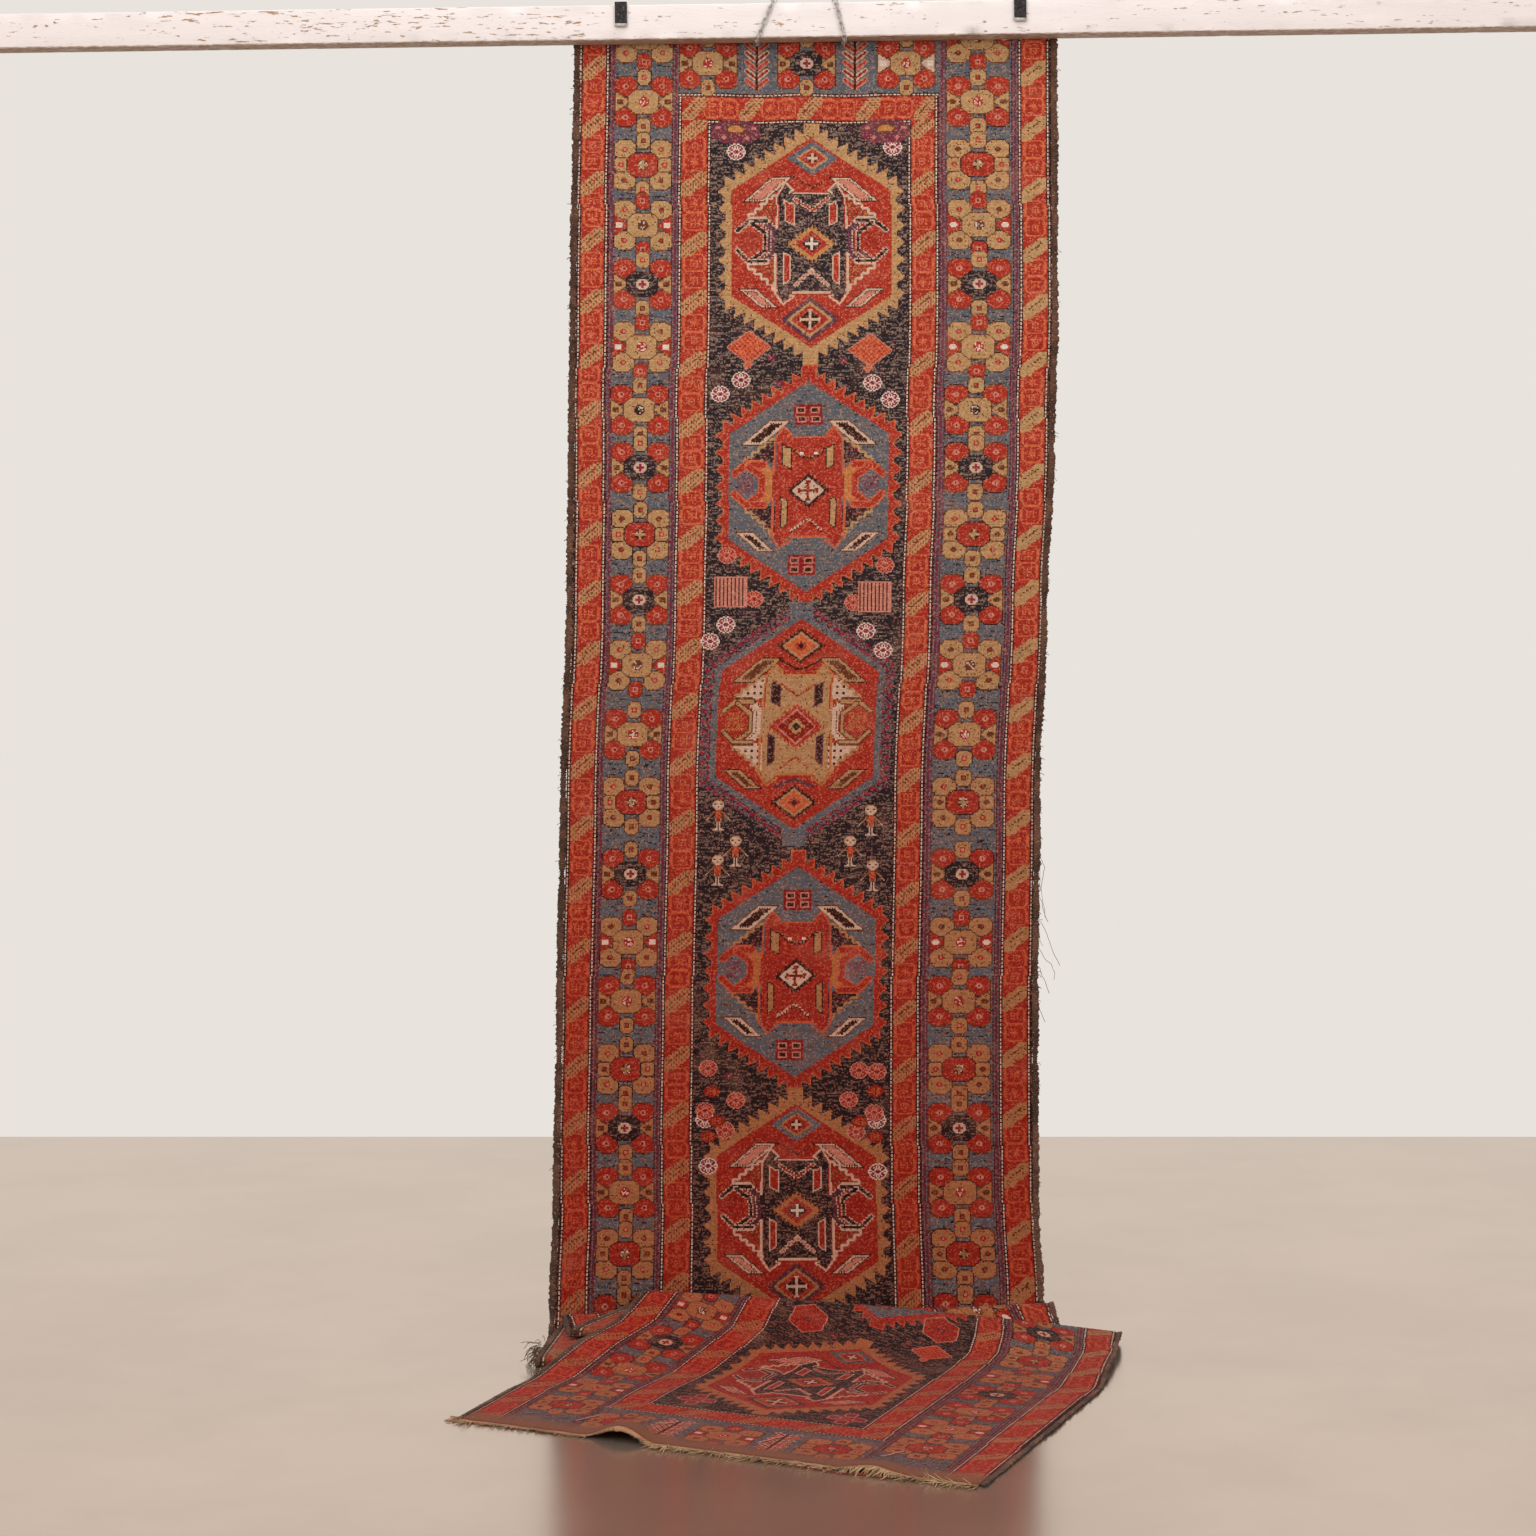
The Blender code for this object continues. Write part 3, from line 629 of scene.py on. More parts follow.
def end_jewels(tile, dyes):
    """What stands in the two pointed ends of the hexagon."""
    if dyes is MADDER_BAND:
        four_squares(tile, 0, -56)
        four_squares(tile, -4, 61)
    elif dyes is CAMEL_BAND:
        tile.line([(-13, -51), (1, -43), (15, -51)], "k", ONCE, 1.5, (1.4, 0.8))
        tile.diamond(1, -66, 20, 13.5, "g")
        tile.diamond(1, -66, 13, 9.5, "t")
        tile.diamond(1, -66, 10.5, 7.5, "r")
        tile.diamond(1, -66, 6, 4.5, "k")
        cross(tile, 1, -66, 4, "i")
        tile.diamond(-1, 60, 23, 18, "p")
        tile.diamond(-1, 60, 18, 14, "t")
        tile.diamond(-1, 60, 15, 11.5, "r")
        tile.diamond(-1, 60, 9.5, 7.5, "k")
        cross(tile, -1, 60, 7.5, "i", 1.6)
    else:
        tile.line([(-16, -50), (-3, -43), (3, -43), (16, -50)], "k", ONCE, 1.5)
        tile.line([(-15, 49), (0, 43), (15, 49)], "p", ONCE, 2.5)
        for y in (-61, 61):
            toothed_diamond(tile, 0, y, 18, 13, "k")
            tile.diamond(0, y, 15, 11, "t")
            tile.diamond(0, y, 12.5, 9, "o")
            tile.diamond(0, y, 7.5, 5.5, "r", "y")
            tile.diamond(0, y, 2.5, 2, "k")


def medallion(dyes):
    """Draw one whole medallion on its own tile."""
    tile = Tile(164, 190)
    if dyes is SLATE_BAND:
        speckled_band(tile)
    else:
        toothed_band(tile, dyes)
    tile.shape(hexagon(0), dyes.ground)
    if dyes is MADDER_BAND:
        tile.speckle(tile.inside(hexagon(0)), "h", 0.10)
    leaning_bars(tile, dyes)
    stepped_corners(tile, dyes)
    side_hooks(tile, dyes)
    hide_figure(tile, dyes)
    centre_jewel(tile, dyes)
    end_jewels(tile, dyes)
    return tile.knots


medallion_tiles = [medallion(dyes) for dyes in (CAMEL_BAND, MADDER_BAND, SLATE_BAND)]
print("medallion tile:", medallion_tiles[0].shape, "knots")

# %% [markdown]
# ## Borders
#
# A wide border of eight-petalled rosettes on slate blue runs between two narrow red guards. The narrow
# guards alternate a camel leaf with two framed flowers. Thin rows of light and dark knots, like a
# barber's pole, part all of them. A weaver knots these by counting, so they are built by counting too.

# %% Rosettes of the wide border


class Petals(NamedTuple):
    """Dye letters of a rosette: middle, heart of the middle, upright petals, slanting petals, side petals."""

    middle: str
    heart: str
    upright: str
    slanting: str
    side: str


PETALS = [
    Petals(*"trtrt"),
    Petals(*"rkttt"),
    Petals(*"tbrtr"),
    Petals(*"nstrt"),
    Petals(*"trrtr"),
    Petals(*"tktrt"),
]


def petal(tile, x, y, half_wide, half_long, letter):
    """One petal with a dark outline and a small coloured seed."""
    tile.oval(x, y, half_wide, half_long, letter, "b" if dice.random() < 0.7 else "k")
    seed = ("s", "d") if letter == "r" else (("b", "r") if dice.random() < 0.6 else ("r", "s"))
    tile.oval(x, y, 2.3, 1.8, seed[0])
    tile.knots[(np.abs(tile.x - x) < 0.8) & (np.abs(tile.y - y) < 0.6)] = DYE[seed[1]]


def rosette(petals, wide=1.0):
    """Eight petals around an oval middle."""
    tile = Tile(54, 54)
    for flip_x, flip_y in CORNERS:
        petal(tile, flip_x * 14.2 * wide, flip_y * 12, 9.2 * wide, 7.8, petals.slanting)
    for flip in (1, -1):
        wedge = [(flip * 9 * wide, 0), (flip * 23 * wide, -9.5), (flip * 23 * wide, 9.5)]
        if petals.side == petals.slanting:
            petal(tile, flip * 17 * wide, 0, 6.4 * wide, 6.2, petals.side)
        else:
            tile.shape(wedge, petals.side, ONCE, "b")
            tile.oval(flip * 18.5 * wide, 0, 2.6, 2.4, "b" if petals.side == "t" else "w")
        petal(tile, 0, flip * 19, 6.4 * wide, 6.8, petals.upright)
    tile.oval(0, 0, 12.5 * wide, 10.4, petals.middle, "b" if petals.middle == "t" else "k")
    tile.oval(0, 0, 4.2, 3.6, petals.heart)
    tile.speckle((np.abs(tile.x) < 3) & (np.abs(tile.y) < 3), "w", 0.3)
    if petals.middle == "n":
        tile.oval(0, 0, 5, 4, "i")
        cross(tile, 0, 0, 2.6, "m")
    if petals.middle == "r":
        cross(tile, 0, 0, 3.5, "t")
    return tile.knots


def chevron_tree():
    """An upright stack of chevrons between two rosettes of the cross border."""
    tile = Tile(22, 50)
    for row in range(6):
        y = -15 + row * 7
        tile.line([(-8, y - 6), (0, y), (8, y - 6)], "i" if row % 2 == 0 else "s", ONCE, 4.2)
        tile.line([(-8, y - 6), (0, y), (8, y - 6)], "r" if row % 2 else "d", ONCE, 2.0)
    tile.line([(0, -20), (0, 22)], "k", ONCE, 1.0)
    return tile.knots


# %% Framed flowers and leaves of the guards
FLOWERS = (
    ("......o......", "....o.o.o....", ".....ooo.....", "...oooooo....", ".....ooo.....", "....o.o.o....",
     "......o......"),
    ("..oo.....oo..", "...o..o..o...", "...oo.o.oo...", "......o......", "...ooooooo...", "...o..o..o...",
     "......o......"),
    (".............", "....ooooo....", "....o...o....", "....o.t.o....", "....o...o....", "....oo.oo....",
     "......o......"),
    ("...o.........", "...oooooo....", "...o....o....", "...o.oo.o....", ".....o..o....", "...ooo..oo...",
     "............."),
)


def guard_repeat(wide, long, lean):
    """One repeat of a guard: a stepped camel leaf, then two framed flowers."""
    tile = Tile(wide, long)
    tile.knots[:] = DYE["r"]
    half = wide / 2
    top = -long / 2
    for centre in (top + 0.54 * long, top + 0.83 * long):
        frame_points = [(-half + 4, centre - 6.5), (half - 4, centre - 6.5), (half - 2, centre - 4),
                        (half - 2, centre + 4), (half - 4, centre + 6.5), (-half + 4, centre + 6.5),
                        (-half + 2, centre + 4), (-half + 2, centre - 4), (-half + 4, centre - 6.5)]
        tile.line(frame_points, "o", ONCE, 1.2)
        tile.chart(FLOWERS[dice.integers(len(FLOWERS))], 0, centre)
    outline = [(-half, 20), (-half, 11), (-half + 3, 7), (-1, 4), (2, 1),
               (half, -3), (half, 8), (half - 3, 12), (1, 15), (-2, 19)]
    leaf = tile.inside([(x, top + down) for x, down in outline])
    steps = (tile.x * lean + 2 * (np.floor(tile.y / 2) % 2)) % 4 < 3.4
    tile.knots[leaf & steps] = DYE["t"]
    tile.line([(-half + 4, top + 12), (half - 4, top + 4)], "b", ONCE, 1.2, (2, 1))
    return tile.knots if lean > 0 else tile.knots[:, ::-1]


print("guard repeat:", guard_repeat(18, 46, 1).shape, "knots")

# %% Small things on the field
SMALL_ROSETTE = (
    ".....ww.ww.....", "...wwmmwmmww...", "..wmmmwmwmmmw..", ".wmmwmwmwmwmmw.", ".wmmmwwwwwmmmw.",
    "wwwmmwmmmwmmwww", "wmmwwmmkmmwwmmw", "wwwmmwmmmwmmwww", ".wmmmwwwwwmmmw.", ".wmmwmwmwmwmmw.",
    "..wmmmwmwmmmw..", "...wwmmwmmww...", ".....ww.ww.....")
FUZZY_ROSETTE = (
    "....drrrd....", "..rrdrdrdrr..", ".rdrryrryrrd.", "drryrrdrryrrd", "rdrrdyryydrrr", "drryrrdrryrrd",
    ".rdrryrryrrd.", "..rrdrdrdrr..", "....drrrd....")
TINY_ROSETTE = (".pp.pp.", "pmmpmmp", ".pmsmp.", "pmmpmmp", ".pp.pp.")
PLOT = ("s" * 26,) + ("s" + "kss" * 8 + "s",) * 22 + ("s" * 26,)
FIGURE = (
    ".......ttttt.......", "......tiiiiit......", ".....tiiiiiiit.....", ".....ikkiiikki.....",
    ".....iiiiiiiii.....", ".....tiiikiiit.....", "......tiiiiit......", ".......tiiit.......",
    "........rrr........", "......yrooory......", ".....y.rooor.y.....", "....y..orooo..y....",
    "...t...oorro...t...", "..t....rooor....t..", ".i.....yrrry.....i.", "i......trrrt......i",
    ".......t.r.t.......", "........i.i........", "........i.i........", "........i.i........",
    "........i.i........", "........i.i........", ".......ii.ii.......", ".....iiii.iiii.....")
PINK_ROSETTE = tuple(row.replace("w", "s").replace("m", "r") for row in SMALL_ROSETTE)


def cloud():
    """An aubergine cloud with a tan heart and light seeds, in the field's upper corners."""
    tile = Tile(40, 20)
    tile.oval(0, 0, 19, 9, "p")
    tile.speckle(tile.knots == DYE["p"], "m", 0.35)
    tile.oval(0, -2, 8, 4, "b")
    tile.oval(0, -2, 6, 2.5, "y")
    tile.line([(-15, -3), (-13, -3)], "s", SIDES, 2)
    tile.line([(-10, 4.5), (-8, 4.5)], "s", SIDES, 2)
    return tile.knots


def purple_star():
    """A loose star of aubergine and cochineal petals beside the last medallion."""
    tile = Tile(34, 34)
    tile.diamond(0, 0, 15, 15, "p")
    tile.speckle(tile.knots == DYE["p"], "m", 0.4)
    tile.oval(0, -9, 4.5, 5, "m", "s")
    tile.oval(0, 9, 4.5, 5, "m", "s")
    tile.oval(9, 0, 5, 4.5, "m", "s", SIDES)
    tile.oval(0, 0, 3, 3, "r")
    return tile.knots


def chequered_diamond():
    """An apricot diamond with a small tail."""
    tile = Tile(38, 34)
    tile.diamond(0, -2, 18, 13.5, "o", "s")
    lattice = (tile.knots == DYE["o"]) & ((np.floor(tile.x / 2) + np.floor(tile.y / 2)) % 2 == 0)
    tile.knots[lattice & (dice.random(lattice.shape) < 0.8)] = DYE["r"]
    tile.diamond(0, 12, 4, 4, "o", "s")
    return tile.knots


def red_hexagon():
    """A plain red hexagon with a light edge and a small star."""
    tile = Tile(34, 40)
    tile.shape([(-14, -9), (0, -18), (14, -9), (14, 9), (0, 18), (-14, 9)], "r", ONCE, "s")
    tile.speckle(tile.knots == DYE["r"], "d", 0.25)
    tile.chart(TINY_ROSETTE, 0, 0)
    return tile.knots


def chart_knots(rows):
    """A chart as an array of knots."""
    width = max(len(row) for row in rows)
    return np.array([[DYE.get(letter, CLEAR) for letter in row.ljust(width, ".")] for row in rows], np.uint8)


print(len(FLOWERS), "guard flowers,", len(PETALS), "rosette colourings")

# %% [markdown]
# ## The whole chart
#
# The bands are laid out across the width first, then the cross border at each end, and the field last.
# The repeats are not quite even on the real rug, so the rosettes and medallions stand where a short
# list says. Last, some knots are swapped at random where the wool is worn down to its lighter roots.

# %% Bands across the rug


class Band(NamedTuple):
    """A lengthwise band: its first and last column of knots."""

    name: str
    first: int
    last: int


BANDS = [
    Band("dashes", 0, 2),
    Band("guard", 3, 20),
    Band("dashes", 21, 23),
    Band("stripes", 24, 28),
    Band("rosettes", 29, 72),
    Band("stripes", 73, 77),
    Band("dashes", 78, 80),
    Band("guard", 81, 100),
    Band("dashes", 101, 103),
    Band("field", 104, 256),
    Band("dashes", 257, 259),
    Band("guard", 260, 277),
    Band("dashes", 278, 280),
    Band("stripes", 281, 286),
    Band("rosettes", 287, 337),
    Band("stripes", 338, 342),
    Band("dashes", 343, 345),
    Band("guard", 346, 364),
    Band("dashes", 365, 367),
]
TOP_CROSS = (0, 63)
TOP_GUARD = (67, 84)
FIELD_ROWS = (88, 1426)
END_GUARD = (1430, 1447)
END_CROSS = (1451, 1515)
ROSETTE_MM = [58, 197, 333, 463, 591, 727, 863, 989, 1132, 1275, 1415, 1565, 1714, 1870, 2015, 2145, 2292,
              2420, 2558, 2692, 2826, 2962, 3096, 3232, 3366, 3500, 3636, 3770, 3905, 4040]
ROSETTE_ORDER = [2, 0, 1, 2, 3, 4, 5, 3, 1, 3, 2, 0, 1, 3, 4, 0, 1, 3, 0, 1, 3, 2, 0, 3, 1, 2, 3, 0, 4, 1]
chart = np.full((KNOTS_ALONG, KNOTS_ACROSS), DYE["n"], np.uint8)


def dashes_along(block, upright):
    """Barber-pole knots: light ones two and two, on a dark ground."""
    block[:] = DYE["k"]
    lane = block[:, block.shape[1] // 2] if upright else block[block.shape[0] // 2, :]
    places = np.arange(lane.size)
    lane[:] = np.where(places % 3 < 2, DYE["w"], DYE["k"])
    lane[dice.random(lane.size) < 0.15] = DYE["s"]


def stripes_along(block):
    """Aubergine and slate stripes with cochineal dots."""
    block[:] = DYE["p"]
    block[:, 1::3] = DYE["g"]
    dots = (np.arange(block.shape[0])[:, None] + 2 * np.arange(block.shape[1])[None, :]) % 4 == 0
    block[dots] = DYE["m"]
    block[:, 0] = np.where(np.arange(block.shape[0]) % 3 == 0, DYE["m"], DYE["k"])


def abrashed(shape, letter, others, share):
    """A ground of one dye in which short rows of others show."""
    ground = np.full(shape, DYE[letter], np.uint8)
    runs = np.repeat(dice.random((shape[0], shape[1] // 5 + 1)), 5, axis=1)[:, :shape[1]]
    for other in others:
        ground[(runs > 1 - share) & (dice.random(shape) < 0.6)] = DYE[other]
        runs = 1 - runs
    return ground


for band in BANDS:
    block = chart[:, band.first:band.last + 1]
    if band.name == "dashes":
        dashes_along(block, True)
    elif band.name == "stripes":
        stripes_along(block)
    elif band.name == "rosettes":
        block[:] = abrashed(block.shape, "g", ("h", "n"), 0.12)
    elif band.name == "guard":
        row = int(-8 + 20 * (band.first % 7 == 0))
        while row < KNOTS_ALONG:
            repeat = guard_repeat(band.last - band.first + 1, int(45 + dice.integers(-2, 4)), 1)
            paste(chart, repeat, row, band.first)
            row += repeat.shape[0]
    else:
        block[:] = abrashed(block.shape, "n", ("h", "c"), 0.10)

# %% Rosettes down both wide borders
for band in BANDS:
    if band.name == "rosettes":
        middle = (band.first + band.last) / 2
        wide = 1.0 if band.first < 100 else 1.08
        for millimetres, kind in zip(ROSETTE_MM, ROSETTE_ORDER):
            knots = rosette(PETALS[kind], wide)
            paste(chart, knots, round(millimetres / 1000 / KNOT - 27), round(middle - 27))

# %% Cross borders and guards at both ends


def cross_band(rows, letter):
    """Clear a crosswise band between the two stripes beside the wide borders."""
    block = chart[rows[0]:rows[1] + 1, 79:282]
    block[:] = abrashed(block.shape, letter, ("h",), 0.10)


def cross_guard(rows):
    """A guard that runs across, made of upright repeats turned on their side."""
    columns = []
    while sum(part.shape[1] for part in columns) < 200:
        columns.append(guard_repeat(rows[1] - rows[0] + 1, int(45 + dice.integers(-2, 3)), 1).T)
    block = np.concatenate(columns, axis=1)[:, :197]
    paste(chart, block, rows[0], 81)


cross_band(TOP_CROSS, "g")
cross_guard(TOP_GUARD)
for first, last in ((TOP_CROSS[1] + 1, TOP_GUARD[0] - 1), (TOP_GUARD[1] + 1, FIELD_ROWS[0] - 1)):
    left = 78 if first < 80 else 101
    right = 281 if first < 80 else 260
    dashes_along(chart[first:last + 1, left:right], False)
for column, kind in ((101, 0), (178, 3), (256, 0)):
    petals = PETALS[kind]._replace(side="i") if column == 256 else PETALS[kind]
    paste(chart, rosette(petals, 1.0), 14, column - 27)
for column in (139, 216):
    paste(chart, chevron_tree(), 14, column - 11)
cross_band(END_CROSS, "g")
cross_guard(END_GUARD)
dashes_along(chart[FIELD_ROWS[1] + 1:END_GUARD[0], 101:260], False)
dashes_along(chart[END_GUARD[1] + 1:END_CROSS[0], 78:281], False)
for column, kind in ((103, 1), (180, 4), (257, 1)):
    paste(chart, rosette(PETALS[kind]), 1455, column - 27)
for column in (140, 218):
    paste(chart, chevron_tree(), 1457, column - 11)
for row, column in ((1468, 72), (1462, 128), (1466, 205), (1464, 290)):
    bar = Tile(12, 22)
    bar.line([(-4, 9), (4, -9)], "i", ONCE, 1.4)
    bar.line([(-2, 10), (6, -8)], "k", ONCE, 1.2)
    paste(chart, bar.knots, row, column)

# %% Medallions and what stands between them


class Place(NamedTuple):
    """Where a motif stands: millimetres down the rug, and its column of knots."""

    down: int
    column: float
    kind: int


MEDALLIONS = [
    Place(502, 182, 0), Place(1030, 182.5, 1), Place(1545, 179, 2), Place(2080, 183, 1), Place(2594, 184, 0),
    Place(3117, 183, 1), Place(3690, 181, 0),
]
FILLERS = (
    (SMALL_ROSETTE, [(305, 123), (297, 245), (798, 130), (830, 113), (806, 231), (842, 246), (1328, 119),
                     (1365, 108), (1343, 229), (1385, 243), (2400, 114), (2400, 247), (2500, 115),
                     (2512, 247), (2838, 116), (2838, 247)]),
    (PINK_ROSETTE, [(1180, 119), (1202, 243), (1272, 141), (1281, 219), (2290, 115), (2293, 234), (2294, 248),
                    (2358, 137), (2356, 225), (2380, 113), (2384, 246), (2424, 130), (2426, 232)]),
    (FUZZY_ROSETTE, [(2340, 119), (2338, 246), (2403, 123), (2404, 235), (2436, 116), (2436, 247)]),
    (TINY_ROSETTE, [(750, 151), (759, 207), (808, 160), (2305, 131), (3446, 155), (3400, 212)]),
    (PLOT, [(1257, 123), (1269, 236)]),
    (FIGURE, [(1740, 120), (1751, 240), (1818, 134), (1818, 224), (1860, 119), (1872, 241)]),
)
for place in MEDALLIONS:
    knots = medallion_tiles[place.kind]
    if place.kind == 0 and place.down > 3500:
        knots = medallion(CAMEL_BAND)
    field = chart[FIELD_ROWS[0]:FIELD_ROWS[1] + 1, 104:257]
    paste(field, knots, round(place.down / 1000 / KNOT - 95) - FIELD_ROWS[0], round(place.column - 82) - 104)
for rows, places in FILLERS:
    knots = chart_knots(rows)
    for down, column in places:
        top = round(down / 1000 / KNOT - knots.shape[0] / 2)
        paste(chart, knots, top, round(column - knots.shape[1] / 2))
SINGLES = (
    (cloud, [(262, 123), (262, 240)]),
    (chequered_diamond, [(733, 134), (742, 228), (3420, 233)]),
    (purple_star, [(3905, 128), (3915, 240)]),
    (red_hexagon, [(3415, 131), (3322, 232)]),
)
for draw, places in SINGLES:
    for down, column in places:
        knots = draw()
        top = round(down / 1000 / KNOT - knots.shape[0] / 2)
        paste(chart, knots, top, round(column - knots.shape[1] / 2))

# %% Wear, and knots that strayed
columns = np.arange(KNOTS_ACROSS)
wander = np.round(0.8 * np.sin(np.arange(KNOTS_ALONG) / 97) + 0.6 * np.sin(np.arange(KNOTS_ALONG) / 41))
for row, shift in enumerate(wander.astype(int)):
    chart[row] = chart[row, np.clip(columns + shift, 0, KNOTS_ACROSS - 1)]
worn = dice.random(chart.shape)
runs = np.repeat(dice.random((KNOTS_ALONG, KNOTS_ACROSS // 4)), 4, axis=1)
dark = np.isin(chart, [DYE["n"], DYE["c"]])
chart[dark & (runs < 0.22) & (worn < 0.75)] = DYE["h"]
chart[dark & (worn > 0.92)] = DYE["c"]
chart[dark & (runs > 0.985)] = DYE["p"]
slate = chart == DYE["g"]
chart[slate & (runs < 0.10)] = DYE["h"]
chart[slate & (runs > 0.94) & (worn < 0.6)] = DYE["n"]
chart[(chart == DYE["r"]) & (worn < 0.05)] = DYE["o"]
chart[(chart == DYE["r"]) & (worn > 0.95)] = DYE["d"]
chart[(chart == DYE["t"]) & (worn < 0.04)] = DYE["b"]
chart[(chart == DYE["t"]) & (worn > 0.92)] = DYE["y"]
chart[-14:][worn[-14:] < 0.5] = DYE["b"]
chart[-5:][worn[-5:] < 0.8] = DYE["b"]
print("chart of", chart.shape, "knots in", len(np.unique(chart)), "dyes")

# %% [markdown]
# ## The knotted sheet
#
# The rug is one closed mesh: a face, a back, and a narrow rim. A mesh with one face for each knot
# would be far too heavy, so each face carries a block of four by four knots. Its sixteen dye numbers
# are packed into three face attributes, four bits a knot, and the material unpacks them again. Each
# row lies at an even length along the weave, so the knots keep their size down the whole rug.

# %% The sheet's grid
SELVEDGE_WIDTH = 0.014
SELVEDGE_GAP = 0.0005
PILE_HALF = 0.0024
BLOCK = KNOT * FACE_KNOTS
BLOCKS_ACROSS = KNOTS_ACROSS // FACE_KNOTS
BLOCKS_ALONG = KNOTS_ALONG // FACE_KNOTS
BODY_EDGE = (SELVEDGE_WIDTH + SELVEDGE_GAP) / RUG_WIDTH

body_shares = np.linspace(BODY_EDGE, 1 - BODY_EDGE, BLOCKS_ACROSS + 1)
fold_blocks = (int(2.70 / BLOCK), int(3.60 / BLOCK))
body_rows = np.unique(np.concatenate([np.arange(BLOCKS_ALONG + 1), np.arange(*fold_blocks) + 0.5]))


def worn_end(share):
    """How much shorter the worn end is at a place across."""
    return 0.0022 * (1 + math.sin(37 * share) * math.sin(91 * share + 1)) + 0.003 * bump(share - 0.62, 0.05)


def sheet_grid(shares, rows):
    """Middle points and face-side normals of the cloth, as arrays of rows by columns."""
    lines = []
    for share in shares:
        woven = rows * BLOCK
        woven[-1] -= worn_end(share)
        lines.append(cloth_points(share, woven))
    middle = np.stack(lines, axis=1)
    across = np.gradient(middle, axis=1)
    down = np.gradient(middle, axis=0)
    normal = np.cross(down, across)
    return middle, normal / np.linalg.norm(normal, axis=2, keepdims=True)


body_middle, body_normal = sheet_grid(body_shares, body_rows.copy())
print("sheet grid:", body_middle.shape[:2], "lowest", round(body_middle[..., 2].min() - HALF_THICK, 4))

# %% One closed mesh with its knots


def quads(rows, columns, start, turned):
    """Corner numbers of a grid's faces."""
    first = start + (np.arange(rows - 1)[:, None] * columns + np.arange(columns - 1)[None, :]).ravel()
    corners = np.stack([first, first + columns, first + columns + 1, first + 1], axis=1)
    return corners[:, ::-1] if turned else corners


def packed_knots(knots):
    """Three whole numbers for each block of sixteen knots: six, six and four knots of four bits."""
    blocks = knots.reshape(BLOCKS_ALONG, FACE_KNOTS, BLOCKS_ACROSS, FACE_KNOTS).transpose(0, 2, 1, 3)
    blocks = blocks.reshape(BLOCKS_ALONG, BLOCKS_ACROSS, 16).astype(np.int64)
    return [sum(blocks[..., first + place] << (4 * place) for place in range(count))
            for first, count in ((0, 6), (6, 6), (12, 4))]


def new_piece(name, points, faces=(), edges=()):
    """A mesh object of these points, faces and edges, linked to the scene."""
    mesh = bpy.data.meshes.new(name)
    mesh.from_pydata(points, edges, faces)
    piece = bpy.data.objects.new(name, mesh)
    bpy.context.scene.collection.objects.link(piece)
    return piece


